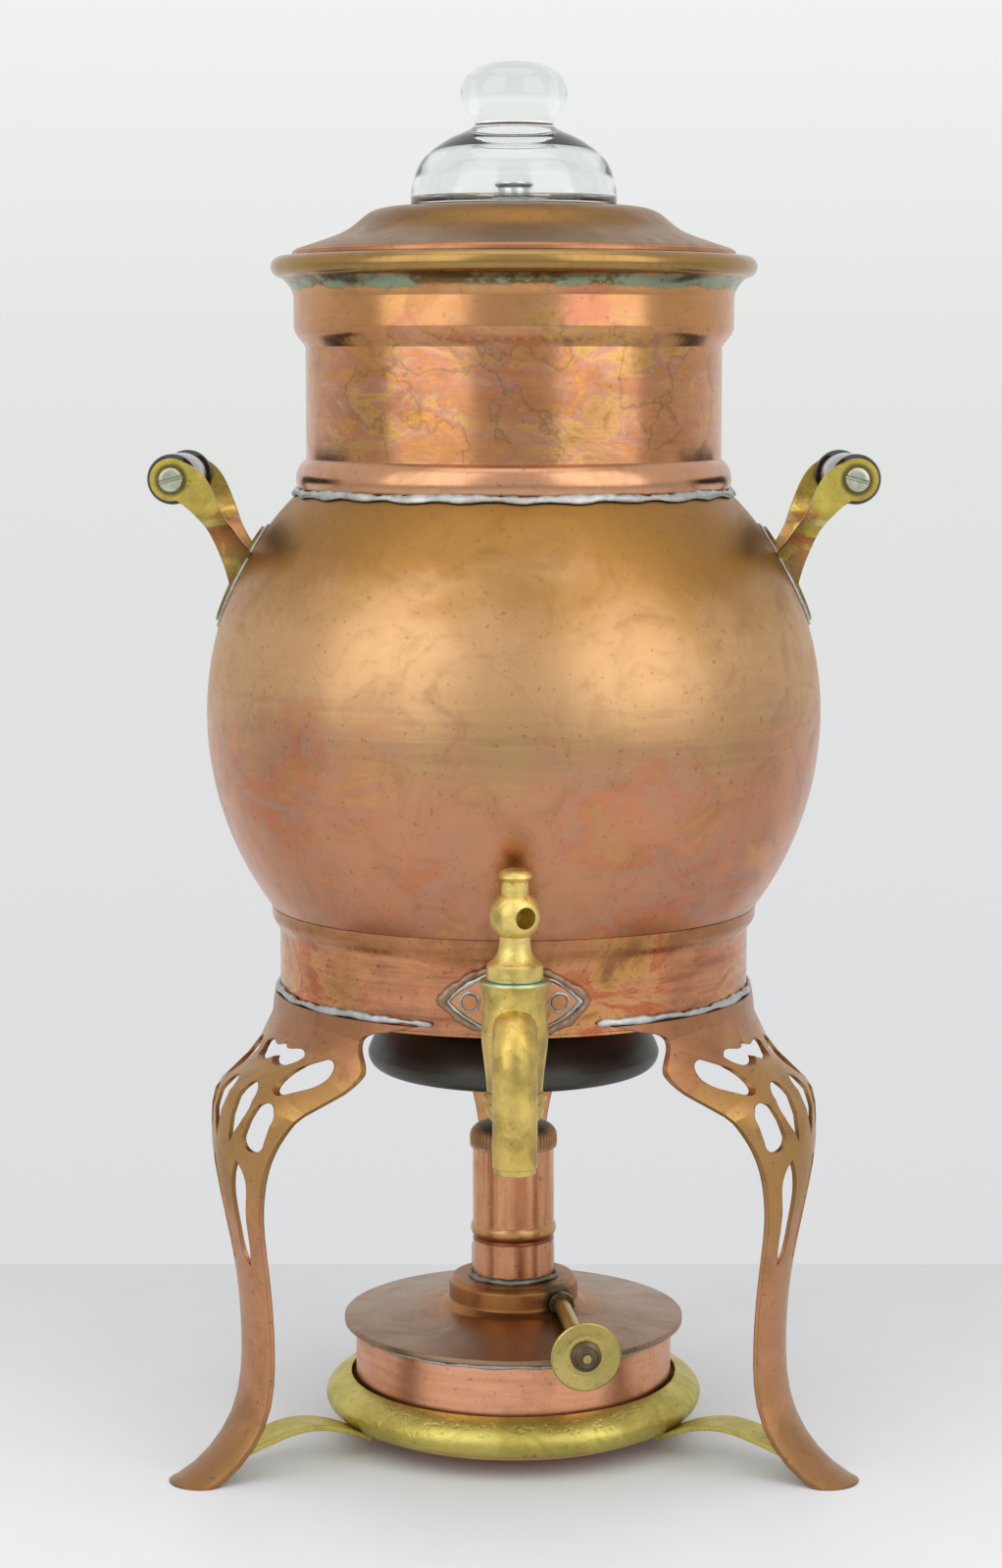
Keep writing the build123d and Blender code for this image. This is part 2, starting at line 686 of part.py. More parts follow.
def faucet_body():
    """Barrel, spout and shank in one casting, bored through."""
    along_y = Plane(origin=(0, SHANK_INNER_Y, PORT_Z), x_dir=(1, 0, 0), z_dir=(0, -1, 0))
    shank_length = SHANK_INNER_Y - FAUCET_Y
    flange_back = -(SKIRT_R + PLATE_THICK + 2 * FIT_GAP)
    at_flange = Plane(origin=(0, flange_back, PORT_Z), x_dir=(1, 0, 0), z_dir=(0, -1, 0))
    shank = extrude(along_y * Circle(SHANK_R), shank_length)
    flange = extrude(at_flange * Circle(SHANK_FLANGE_R), 2.4)
    casting = Pos(0, FAUCET_Y, 0) * barrel() + spout_tube(SPOUT_R) + shank + flange
    tip_cut = Plane(origin=(0, SPOUT_Y, SPOUT_TIP_Z)) * ring(SPOUT_R - 0.4, SPOUT_R + 1, -0.1, 1.5)
    waterway = extrude(along_y * Circle(PORT_R), shank_length)
    plug_seat = Pos(0, FAUCET_Y, 0) * plug_cone(0.0)
    return single(casting - tip_cut - waterway - spout_tube(SPOUT_BORE_R) - plug_seat)


def faucet_key():
    """Plug with its port, collar, waist, ball with the lever's hole, and disc top. It rests closed."""
    collar_low = BARREL_TOP_Z + SEAT_GAP
    collar_top = collar_low + KEY_COLLAR_HEIGHT
    ball_low = KEY_BALL_Z - sqrt(KEY_BALL_R**2 - KEY_WAIST_R**2)
    ball_high = KEY_BALL_Z + sqrt(KEY_BALL_R**2 - KEY_NECK_R**2)
    disc_edge = KEY_DISC_Z + 1.0
    head = turned(
        Polyline((0, KEY_TOP_Z), (0, collar_low), (KEY_COLLAR_R, collar_low)),
        Line((KEY_COLLAR_R, collar_low), (KEY_COLLAR_R, collar_top - 0.5)),
        Line((KEY_COLLAR_R, collar_top - 0.5), (KEY_COLLAR_R - 0.5, collar_top)),
        Spline((KEY_COLLAR_R - 0.5, collar_top), (KEY_WAIST_R, ball_low), tangents=[(-1, 0.5), (0, 1)]),
        ThreePointArc((KEY_WAIST_R, ball_low), (KEY_BALL_R, KEY_BALL_Z), (KEY_NECK_R, ball_high)),
        Line((KEY_NECK_R, ball_high), (KEY_NECK_R, KEY_DISC_Z)),
        Line((KEY_NECK_R, KEY_DISC_Z), (KEY_DISC_R, disc_edge)),
        Spline((KEY_DISC_R, disc_edge), (0, KEY_TOP_Z), tangents=[(-0.3, 1), (-1, 0)]),
    )
    neck = post(PLUG_TOP_R - 0.5, BARREL_TOP_Z - 1, collar_low + 1)
    shoulder_low = BARREL_BOTTOM_Z + 0.6
    plug = plug_cone(FIT_GAP) - post(BARREL_FOOT_R, BARREL_BOTTOM_Z - 1, shoulder_low)
    stem = post(STEM_R, STEM_BOTTOM_Z, shoulder_low + 1)
    port = Pos(0, 0, PORT_Z) * (Rot(0, 90, 0) * Cylinder(PORT_R, 3 * BARREL_R))
    key = head + neck + plug + stem - port
    along_x = Rot(0, 90, 0) * post(LEVER_HOLE_R, KEY_BALL_R - LEVER_HOLE_DEPTH, 2 * KEY_BALL_R)
    drill = Pos(0, 0, KEY_BALL_Z) * (Rot(0, 0, LEVER_ANGLE - 90) * along_x)
    return single(Pos(0, FAUCET_Y, 0) * (key - drill))


def faucet_washer():
    """Ridged washer under the barrel, square on the stem."""
    top = BARREL_BOTTOM_Z - SEAT_GAP
    low = top - TAP_WASHER_THICK
    shape = turned_shape(
        (STEM_R + FIT_GAP, low),
        (TAP_WASHER_R - 0.9, low),
        (TAP_WASHER_R, low + 0.9),
        (TAP_WASHER_R, top - 1.0),
        (TAP_WASHER_R - 0.9, top),
        (STEM_R + FIT_GAP, top),
    )
    return Pos(0, FAUCET_Y, 0) * shape


def faucet_nut():
    """Round-edged nut that draws the plug into its cone."""
    top = BARREL_BOTTOM_Z - SEAT_GAP - TAP_WASHER_THICK
    low = top - TAP_NUT_HEIGHT
    shape = turned_shape(
        (STEM_R + FIT_GAP, low),
        (TAP_NUT_R - 1.8, low),
        (TAP_NUT_R - 0.3, low + 1.8),
        (TAP_NUT_R, top - 1.0),
        (TAP_NUT_R - 0.6, top),
        (STEM_R + FIT_GAP, top),
    )
    return Pos(0, FAUCET_Y, 0) * shape


def along_shank(radius, back_y, front_y):
    """Cylinder along the faucet's shank between two places on Y."""
    plane = Plane(origin=(0, back_y, PORT_Z), x_dir=(1, 0, 0), z_dir=(0, -1, 0))
    return extrude(plane * Circle(radius), back_y - front_y)


def shank_gasket():
    """Fibre gasket between the skirt's inner face and the locknut."""
    back = -(SKIRT_BORE_R - FIT_GAP) * cos(asin(GASKET_R / SKIRT_BORE_R)) + GASKET_THICK
    blank = along_shank(GASKET_R, back, -SKIRT_R) - along_shank(SHANK_R + FIT_GAP, back + 1, -SKIRT_R - 1)
    return single(blank & post(SKIRT_BORE_R - FIT_GAP, PORT_Z - 3 * GASKET_R, PORT_Z + 3 * GASKET_R))


def shank_locknut():
    """Hexagon locknut on the shank inside the urn."""
    back = -(SKIRT_BORE_R - FIT_GAP) * cos(asin(GASKET_R / SKIRT_BORE_R)) + GASKET_THICK + FIT_GAP
    plane = Plane(origin=(0, back, PORT_Z), x_dir=(1, 0, 0), z_dir=(0, 1, 0))
    flat_r = LOCKNUT_R * cos(pi / 6)
    nut = extrude(plane * RegularPolygon(flat_r, 6, major_radius=False), LOCKNUT_THICK)
    return single(nut - along_shank(SHANK_R + FIT_GAP, back + 2 * LOCKNUT_THICK, back - 1))


def on_skirt(face, thick):
    """A plate of the given outline bent on to the front of the skirt."""
    plane = Plane(origin=(0, 0, PLATE_Z), x_dir=(1, 0, 0), z_dir=(0, -1, 0))
    blank = extrude(plane * face, 2 * SKIRT_R)
    inner = SKIRT_R + FIT_GAP
    span = 4 * PLATE_HALF_HEIGHT
    return blank & ring(inner, inner + thick, PLATE_Z - span, PLATE_Z + span)


def rivet_pair(radius, inner_y, outer_y):
    """Two cylinders along Y at the rivets' places."""
    pair = []
    for side in (-1, 1):
        plane = Plane(origin=(side * RIVET_X, inner_y, PLATE_Z), x_dir=(1, 0, 0), z_dir=(0, -1, 0))
        pair.append(extrude(plane * Circle(radius), inner_y - outer_y))
    return pair


def escutcheon():
    """Pointed oval plate that carries the faucet, riveted and soldered to the skirt."""
    shank_hole = along_shank(SHANK_R + FIT_GAP, SHANK_INNER_Y, FAUCET_Y)
    plate = on_skirt(lens(PLATE_HALF_WIDTH, PLATE_HALF_HEIGHT), PLATE_THICK)
    return single(plate - shank_hole - rivet_pair(RIVET_R / 2 + FIT_GAP, 0, FAUCET_Y))


def escutcheon_solder():
    """Raised lip of solder round the plate."""
    outer = lens(PLATE_HALF_WIDTH + PLATE_LIP * 1.5, PLATE_HALF_HEIGHT + PLATE_LIP)
    inner = lens(PLATE_HALF_WIDTH + FIT_GAP * 3, PLATE_HALF_HEIGHT + FIT_GAP)
    return single(on_skirt(outer - inner, PLATE_LIP_THICK))


def escutcheon_rivets():
    """Two rivets through the plate and the skirt, with round heads outside."""
    face_r = SKIRT_R + FIT_GAP + PLATE_THICK
    head_y = -sqrt(face_r**2 - RIVET_X**2)
    shank_y = -sqrt(SKIRT_BORE_R**2 - RIVET_X**2) + 1.0
    shanks = rivet_pair(RIVET_R / 2, shank_y, head_y)
    heads = rivet_pair(RIVET_R, head_y + 1.0, head_y - RIVET_HEAD)
    inside = post(face_r + FIT_GAP / 2, PLATE_Z - PLATE_HALF_HEIGHT, PLATE_Z + PLATE_HALF_HEIGHT)
    return [single(shank + (head - inside)) for shank, head in zip(shanks, heads)]


# Handles, modelled on the +X side

def leaf_solid(half_length, half_width, thick):
    """Pointed oval shell that lies on the ball, with its points up and down the ball."""
    tilt = radians(LEAF_ANGLE)
    normal = (cos(tilt), 0, sin(tilt))
    plane = Plane(origin=(0, 0, BALL_Z), x_dir=(-sin(tilt), 0, cos(tilt)), z_dir=normal)
    prism = extrude(plane * lens(half_length, half_width), 1.2 * BALL_R)
    inner = Pos(0, 0, BALL_Z) * Sphere(BALL_R + FIT_GAP)
    outer = Pos(0, 0, BALL_Z) * Sphere(BALL_R + FIT_GAP + thick)
    return (prism & outer) - inner


def arm_face():
    """Front outline of the arm's strap, from the eye down to the leaf."""
    inner_line = [(-3.4, 4.4), (-8.2, 1.1), (-12.6, -8.0), (-17.2, -16.6), (-20.5, -20.8)]
    outer_line = [(-1.2, -5.4), (-7.0, -10.8), (-10.6, -18.5), (-12.9, -25.5), (-14.0, -31.0)]
    edges = [
        Spline(*inner_line).edge(),
        Spline(*outer_line).edge(),
        Line(inner_line[0], outer_line[0]).edge(),
        Line(inner_line[-1], outer_line[-1]).edge(),
    ]
    strap = make_face(edges) + Circle(EYE_R)
    return Pos(GRIP_X, GRIP_Z) * strap


def arm_band():
    """Side outline of the arm's strap: narrow at the leaf, spread to the grip's end at the eye."""
    far = GRIP_HALF_LENGTH + SEAT_GAP
    z = GRIP_Z
    inner = [
        (far, z + 9),
        (far, z - 5),
        (ARM_FOOT_Y + 6.5, z - 13),
        (ARM_FOOT_Y, z - 22),
        (ARM_FOOT_Y - 1.5, z - 30),
    ]
    outer = [(y + ARM_THICK, h) for y, h in inner]
    lines = [
        Polyline(inner[0], inner[1]),
        Spline(*inner[1:], tangents=[(0, -1), (-0.1, -1)]),
        Line(inner[-1], outer[-1]),
        Spline(*outer[1:], tangents=[(0, -1), (-0.1, -1)]),
        Polyline(outer[1], outer[0], inner[0]),
    ]
    return make_face([edge for line in lines for edge in line.edges()])


def handle_bracket():
    """Brass bracket: two spread arms with round eyes, brazed to a leaf-shaped foot."""
    strap = extrude(Plane.XZ.offset(-2 * GRIP_HALF_LENGTH) * arm_face(), 4 * GRIP_HALF_LENGTH)
    band = extrude(Plane.YZ.offset(BALL_R / 2) * arm_band(), BALL_R)
    arms = (strap & band) + (strap & mirror(band, Plane.XZ))
    arms = arms - Pos(0, 0, BALL_Z) * Sphere(BALL_R + FIT_GAP)
    rod_hole = Plane.XZ.offset(-2 * GRIP_HALF_LENGTH) * (Pos(GRIP_X, GRIP_Z) * Circle(ROD_R + FIT_GAP))
    bracket = arms + leaf_solid(LEAF_HALF_LENGTH, LEAF_HALF_WIDTH, LEAF_THICK)
    return single(bracket - extrude(rod_hole, 4 * GRIP_HALF_LENGTH))


def handle_solder(bracket):
    """Thin line of solder round the leaf, broken where the arms cross it."""
    outer = leaf_solid(LEAF_HALF_LENGTH + LEAF_LIP * 1.5, LEAF_HALF_WIDTH + LEAF_LIP, LEAF_LIP_THICK)
    inner = leaf_solid(LEAF_HALF_LENGTH + FIT_GAP * 2, LEAF_HALF_WIDTH + FIT_GAP, LEAF_THICK + 1)
    return single(outer - inner - bracket)


def on_grip(shape):
    """Move a shape turned about Z on to the grip's axis, with its top towards the front."""
    return Pos(GRIP_X, 0, GRIP_Z) * (Rot(90, 0, 0) * shape)


def grip():
    """Turned black spool between the arms, with a bead at each end."""
    end = GRIP_HALF_LENGTH
    bead = 4.2
    bore = ROD_R + FIT_GAP
    lines = [Polyline((bore, -end), (GRIP_R - 0.8, -end))]
    lines.append(ThreePointArc((GRIP_R - 0.8, -end), (GRIP_R, -end + bead / 2), (GRIP_WAIST_R, -end + bead)))
    lines.append(
        Spline(
            (GRIP_WAIST_R, -end + bead),
            (GRIP_R - 0.5, -end * 0.35),
            (GRIP_R - 0.3, 0),
            (GRIP_R - 0.5, end * 0.35),
            (GRIP_WAIST_R, end - bead),
        )
    )
    lines.append(ThreePointArc((GRIP_WAIST_R, end - bead), (GRIP_R, end - bead / 2), (GRIP_R - 0.8, end)))
    lines.append(Polyline((GRIP_R - 0.8, end), (bore, end), (bore, -end)))
    return on_grip(turned(*lines))


def slotted_head(z):
    """Slotted round head that starts at z and rises from it."""
    top = z + SCREW_HEAD_THICK
    head = turned(
        Polyline((0, top), (0, z), (SCREW_HEAD_R, z), (SCREW_HEAD_R, z + SCREW_HEAD_THICK / 2)),
        Spline((SCREW_HEAD_R, z + SCREW_HEAD_THICK / 2), (0, top), tangents=[(0, 1), (-1, 0)]),
    )
    slot = Pos(0, 0, top) * Box(3 * SCREW_HEAD_R, SCREW_SLOT, SCREW_HEAD_THICK)
    return head - Rot(0, 0, -15) * slot


def grip_rod():
    """Rod through the grip and both arms, with a slotted head at the front."""
    face = GRIP_HALF_LENGTH + ARM_THICK + 2 * SEAT_GAP
    return single(on_grip(slotted_head(face) + post(ROD_R, -face - SCREW_HEAD_THICK, face + 0.3)))


def grip_nut():
    """Round nut on the rod's rear end."""
    face = GRIP_HALF_LENGTH + ARM_THICK + 2 * SEAT_GAP
    return on_grip(ring(ROD_R + FIT_GAP, SCREW_HEAD_R, -face - SCREW_HEAD_THICK, -face))


# Legs, modelled towards +X

def leg_path():
    """Middle line of the leg's sheet, from the skirt over the knee to the toe."""
    top_r = SKIRT_R + SEAT_GAP + LEG_THICK / 2
    return Spline(
        (top_r, 0, LEG_TOP_Z + 1.5),
        (top_r + 1.4, 0, LEG_TOP_Z - 4.7),
        (top_r + 7.0, 0, LEG_TOP_Z - 11.6),
        (LEG_KNEE_R - 3.6, 0, LEG_TOP_Z - 20.4),
        (LEG_KNEE_R, 0, LEG_KNEE_Z),
        (LEG_KNEE_R - 1.9, 0, LEG_CALF_Z),
        (LEG_ANKLE_R + 1.6, 0, LEG_SHIN_Z),
        (LEG_ANKLE_R, 0, LEG_ANKLE_Z),
        (LEG_ANKLE_R + 3.1, 0, LEG_INSTEP_Z),
        (LEG_TIP_R - 12, 0, LEG_TOE_Z),
        (LEG_TIP_R, 0, 0.0),
    )


def leg_section(path, along, arch_r):
    """Arched slice of the sheet, square to the leg's middle line."""
    spot = path @ along
    plane = Plane(origin=spot, x_dir=(0, 1, 0), z_dir=path % along)
    outer_r = arch_r + LEG_THICK / 2
    inner_r = arch_r - LEG_THICK / 2
    across = sin(LEG_ARCH_ANGLE)
    up = cos(LEG_ARCH_ANGLE)
    ends = ((outer_r, -1), (outer_r, 1), (inner_r, 1), (inner_r, -1))
    corners = [(side * r * across, r * up - arch_r) for r, side in ends]
    edges = [
        ThreePointArc(corners[0], (0, outer_r - arch_r), corners[1]),
        Line(corners[1], corners[2]),
        ThreePointArc(corners[2], (0, inner_r - arch_r), corners[3]),
        Line(corners[3], corners[0]),
    ]
    return plane * make_face([edge.edge() for edge in edges])


def leg_arch(along):
    """Radius of the sheet's arch: the skirt's radius at the top, easing to the shin's below the knee."""
    top_arch = SKIRT_R + SEAT_GAP + LEG_THICK / 2
    share = min(1.0, along / LEG_EASE_END)
    ease = share**2 * (3 - 2 * share)
    return top_arch + (LEG_ARCH_R - top_arch) * ease


def leg_sheet():
    """The whole arched sheet in short ruled bays, from the flange on the skirt down to the toe."""
    path = leg_path()
    places = [index / LEG_BAYS for index in range(LEG_BAYS + 1)]
    return loft([leg_section(path, place, leg_arch(place)) for place in places], ruled=True)


def both_sides(*lines):
    """A face from half an outline, given beside the Y axis, and its mirror image."""
    edges = [edge for line in lines for edge in line.edges()]
    edges += [mirror(edge, Plane.YZ) for edge in edges]
    return make_face(edges)


def leg_front():
    """Front outline of the leg: flange, notch, ear, and a long taper to the toe."""
    w = LEG_HALF_WIDTH
    z = LEG_TOP_Z
    return both_sides(
        Polyline((0, z), (w + 30, z), (w + 23, z - 2.2)),
        Spline(
            (w + 23, z - 2.2),
            (w + 16.6, z - 6.7),
            (w + 20.4, z - 13.0),
            (w + 18.2, z - 19.4),
            (w + 11.4, z - 29.0),
            (w + 5.6, z - 39.5),
            (w + 2.0, z - 52.0),
            (w + 0.4, z - 67.0),
            (w, 40),
            (w + 0.1, 20),
            (w - 0.3, -1),
        ),
        Line((w - 0.3, -1), (0, -1)),
    )


def leg_plan():
    """Plan outline of the leg, with a round toe."""
    toe_r = LEG_HALF_WIDTH
    wide = 2 * SKIRT_R
    toe_x = LEG_TIP_R - toe_r
    face = Pos(toe_x - wide / 2, 0) * Rectangle(wide, 2 * toe_r) + Pos(toe_x, 0) * Circle(toe_r)
    return face + Pos((LEG_KNEE_R + 6) / 2, 0) * Rectangle(LEG_KNEE_R + 6, wide)


def placed_slot(start, end, radius):
    """A round-ended slot whose end centres are at start and end."""
    across, up = end[0] - start[0], end[1] - start[1]
    middle = ((start[0] + end[0]) / 2, (start[1] + end[1]) / 2)
    slot = SlotCenterToCenter(sqrt(across**2 + up**2), 2 * radius)
    return Pos(*middle) * (Rot(0, 0, degrees(atan2(up, across))) * slot)


def leg_openings():
    """The pierced pattern: a crown, two leaves beside the rib, four slots and two long drops."""
    z = LEG_TOP_Z
    crown = both_sides(
        Spline((0, z - 8.6), (3.2, z - 9.9), (8.6, z - 9.4), (11.2, z - 10.8)),
        Spline((11.2, z - 10.8), (8.6, z - 12.9), (4.4, z - 13.6), (0, z - 12.2)),
    )
    leaf_line = [(2.6, -19.8), (5.2, -17.2), (8.7, -19.6), (8.3, -25.5), (5.6, -29.5), (3.7, -32.7)]
    leaf_edges = [Spline(*leaf_line).edge(), Line(leaf_line[-1], leaf_line[0]).edge()]
    leaf = Pos(0, z) * make_face(leaf_edges)
    upper_slot = placed_slot((15.2, z - 15.7), (19.0, z - 14.0), 3.5)
    lower_slot = placed_slot((12.3, z - 30.8), (14.4, z - 24.4), 3.3)
    drop_right = Spline((6.4, z - 37.0), (8.7, z - 41.0), (7.0, z - 51.0), (5.6, z - 62.0), (4.7, z - 66.2))
    drop_left = Spline((4.7, z - 66.2), (3.0, z - 64.0), (2.4, z - 56.0), (3.1, z - 46.0), (6.4, z - 37.0))
    drop = make_face([drop_right.edge(), drop_left.edge()])
    one_side = [leaf, upper_slot, lower_slot, drop]
    return [crown] + one_side + [mirror(face, Plane.YZ) for face in one_side]


def leg():
    """One pierced leg, with its toe's underside cut flat on the floor."""
    outlook = Plane.YZ.offset(SKIRT_R / 2)
    reach = LEG_TIP_R
    shape = leg_sheet() & extrude(outlook * leg_front(), reach)
    shape = shape & (Pos(0, 0, -5) * extrude(leg_plan(), LEG_TOP_Z + 20))
    for face in leg_openings():
        shape = shape - extrude(outlook * face, reach)
    under_floor = Pos(0, 0, -10) * Box(4 * reach, 4 * reach, 20)
    return single(shape - under_floor)


def leg_solder():
    """Bead of solder along the top edge of each leg's flange."""
    centre = (SKIRT_R + FIT_GAP + LEG_SOLDER_R, LEG_TOP_Z + FIT_GAP + LEG_SOLDER_R)
    face = Plane.XZ * (Pos(*centre) * Circle(LEG_SOLDER_R))
    bead = revolve(face, Axis.Z, LEG_SOLDER_ARC)
    return [Rot(0, 0, angle - LEG_SOLDER_ARC / 2) * bead for angle in LEG_ANGLES]


# Tray

def tray_line(inset):
    """The tray ring's line from its turned-in bottom over the bulge to the lip, at a depth inside it."""
    bottom_r = PAN_R - 1.0
    low = TRAY_BOTTOM_Z + TRAY_THICK + inset
    return [
        Line((bottom_r, low), (PAN_R + 1.1, low)),
        Spline(
            (PAN_R + 1.1, low),
            (TRAY_BULGE_R - 1.6 - 0.7 * inset, TRAY_BULGE_Z - 3.4 + 0.7 * inset),
            (TRAY_BULGE_R - inset, TRAY_BULGE_Z),
            (TRAY_LIP_R + 4.2 - 0.4 * inset, TRAY_LIP_Z - 1.9 - 0.9 * inset),
            (TRAY_LIP_R, TRAY_LIP_Z - inset),
        ),
    ]


def tray_ring():
    """Pressed ring round the burner: a lip, a round bulge and a turned-in bottom."""
    bottom_r = PAN_R - 1.0
    low = TRAY_BOTTOM_Z + TRAY_THICK
    ends = [
        Line((TRAY_LIP_R, TRAY_LIP_Z), (TRAY_LIP_R, TRAY_LIP_Z - TRAY_THICK)),
        Line((bottom_r, low), (bottom_r, low + TRAY_THICK)),
    ]
    return turned(*tray_line(0.0), *tray_line(TRAY_THICK), *ends)


def tray_pan():
    """Flat pan under the burner, soldered to the ring."""
    return post(PAN_R, TRAY_BOTTOM_Z, TRAY_BOTTOM_Z + TRAY_THICK)


def tray_strut(solid_leg):
    """Flat strip from the ring, over a low arch, down to the inside of a leg."""
    start_r = PAN_R + 1.2
    start_z = TRAY_BOTTOM_Z - 0.9
    lower = [
        (start_r, start_z),
        (start_r + 6, start_z + 3.0),
        (start_r + 19, start_z + 6.0),
        (start_r + 30, start_z + 4.2),
        (LEG_TIP_R - 14.5, TRAY_BOTTOM_Z),
    ]
    upper = [(r, z + STRUT_THICK) for r, z in lower]
    edges = [
        Spline(*lower).edge(),
        Spline(*upper).edge(),
        Line(lower[0], upper[0]).edge(),
        Line(lower[-1], upper[-1]).edge(),
    ]
    face = make_face(edges)
    strip = extrude(Plane.XZ.offset(-STRUT_WIDTH / 2) * face, STRUT_WIDTH)
    inner_side = (strip - solid_leg).solids().sort_by(lambda s: s.center().X)[0]
    return single(inner_side - tray_ring() - tray_pan())


# Burner

def burner_tank():
    """Copper tank for the spirit, open at the top."""
    z = TANK_BOTTOM_Z
    top = BURNER_PLATE_Z - SEAT_GAP
    return turned_shape(
        (0, z),
        (TANK_R - 1.2, z),
        (TANK_R, z + 1.2),
        (TANK_R, top),
        (TANK_R - SHEET, top),
        (TANK_R - SHEET, z + 1.6),
        (TANK_R - 1.6, z + SHEET),
        (0, z + SHEET),
    )


def plate_line(inset):
    """The burner plate's line from its edge up the hub, at a depth below the surface."""
    z = BURNER_PLATE_Z + BURNER_PLATE_EDGE
    hub = HUB_R - inset
    return Polyline(
        (BURNER_PLATE_R - inset, z - inset),
        (hub + 2.4, BURNER_CONE_Z - inset),
        (hub, BURNER_CONE_Z + 1.6 - inset),
        (hub, HUB_TOP_Z - 1.2),
        (hub - 1.2, HUB_TOP_Z - inset),
        (CHIMNEY_R + FIT_GAP, HUB_TOP_Z - inset),
    )


def plate_mass(gap):
    """Everything under the plate's upper line, grown by gap, for cutting what stands on the plate."""
    line = plate_line(-gap)
    first = line @ 0
    last = line @ 1
    closing = Polyline(last, (0, last.Y), (0, BURNER_PLATE_Z), (first.X, BURNER_PLATE_Z), first)
    return turned(line, closing)


def burner_top():
    """Low conical plate with a raised hub, holed for the chimney, the filler and the shaft."""
    outer = plate_line(0.0)
    inner = plate_line(SHEET)
    outer_edge = outer @ 0
    inner_edge = inner @ 0
    hole_edge = Line(outer @ 1, inner @ 1)
    rim = Polyline(outer_edge, (outer_edge.X, BURNER_PLATE_Z), (inner_edge.X, BURNER_PLATE_Z), inner_edge)
    shell = turned(outer, inner, hole_edge, rim)
    filler = Pos(0, FILLER_Y, 0) * post(FILLER_NECK_R + FIT_GAP, BURNER_PLATE_Z - 2, HUB_TOP_Z)
    bush = on_shaft(post(BUSH_SLEEVE_R + FIT_GAP, HUB_R / 2, HUB_R + BUSH_LENGTH))
    return single(shell - filler - bush)


def plate_solder():
    """Line of solder under the plate's edge, round the tank."""
    low = BURNER_PLATE_Z - SEAT_GAP - 1.4
    return turned_shape(
        (TANK_R + FIT_GAP, low),
        (TANK_R + 0.9, low + 0.4),
        (TANK_R + 1.5, BURNER_PLATE_Z - SEAT_GAP),
        (TANK_R + FIT_GAP, BURNER_PLATE_Z - SEAT_GAP),
    )


def chimney():
    """Copper chimney round the wick tube, with a bead and a groove below it."""
    bead = 1.7
    z = CHIMNEY_BEAD_Z
    low = HUB_TOP_Z - SHEET
    return turned(
        Line((CHIMNEY_R, low), (CHIMNEY_R, z - bead - 1.0)),
        Line((CHIMNEY_R, z - bead - 1.0), (CHIMNEY_R - 0.2, z - bead - 0.5)),
        Line((CHIMNEY_R - 0.2, z - bead - 0.5), (CHIMNEY_R, z - bead)),
        ThreePointArc((CHIMNEY_R, z - bead), (CHIMNEY_BEAD_R, z), (CHIMNEY_R, z + bead)),
        Polyline(
            (CHIMNEY_R, z + bead),
            (CHIMNEY_R, CHIMNEY_TOP_Z),
            (CHIMNEY_BORE_R, CHIMNEY_TOP_Z),
            (CHIMNEY_BORE_R, low),
            (CHIMNEY_R, low),
        ),
    )


def chimney_solder():
    """Ring of solder round the chimney's foot."""
    low = HUB_TOP_Z + FIT_GAP
    return turned_shape(
        (CHIMNEY_R + FIT_GAP, low),
        (CHIMNEY_R + 1.5, low),
        (CHIMNEY_R + 0.9, low + 1.2),
        (CHIMNEY_R + FIT_GAP, low + 1.7),
    )


def wick_tube():
    """Inner tube that guides the wick, flanged to the chimney at its top and slotted for the wheel."""
    top = WICK_TUBE_TOP_Z
    flange_r = CHIMNEY_BORE_R - FIT_GAP
    shape = turned_shape(
        (WICK_TUBE_BORE_R, WICK_TUBE_BOTTOM_Z),
        (WICK_TUBE_R, WICK_TUBE_BOTTOM_Z),
        (WICK_TUBE_R, top - 1.0),
        (flange_r, top - 1.0),
        (flange_r, top),
        (WICK_TUBE_BORE_R, top),
    )
    slot_length = 2 * WICK_WHEEL_R + 4
    slot_width = WICK_WHEEL_WIDTH + 1.6
    slot = Pos(1.5 * SHAFT_OFFSET, 0, 0) * Box(3 * SHAFT_OFFSET, slot_width, slot_length)
    return single(shape - Pos(0, 0, SHAFT_Z) * (Rot(0, 0, SHAFT_ANGLE) * slot))


def wick():
    """Round cotton wick, a plain bar from above the tank's floor to near the tube's top."""
    return post(WICK_R, WICK_BOTTOM_Z, WICK_TOP_Z)


def burner_cap():
    """Cap that closes the chimney, with a low domed top."""
    wall_r = CHIMNEY_R + SLIP_GAP
    top = CAP_TOP_Z
    top_low = top - 1.2
    return turned(
        Line((wall_r, CAP_LIP_Z), (CAP_R, CAP_LIP_Z)),
        Line((CAP_R, CAP_LIP_Z), (CAP_R, top - 3.4)),
        ThreePointArc((CAP_R, top - 3.4), (CAP_R - 0.6, top - 2.0), (CAP_R - 2.0, top - 1.3)),
        Spline((CAP_R - 2.0, top - 1.3), (CAP_R / 2, top - 0.35), (0, top)),
        Line((0, top), (0, top_low)),
        Polyline((0, top_low), (wall_r - 2.5, top - 2.2), (wall_r, top - 3.6), (wall_r, CAP_LIP_Z)),
    )


def on_shaft(shape):
    """Move a shape made on Z on to the wick shaft's axis, which runs to the front and slightly down."""
    place = Pos(SHAFT_OFFSET, 0, SHAFT_Z) * Rot(90 + SHAFT_TILT, 0, 0)
    return Rot(0, 0, SHAFT_ANGLE) * (place * shape)


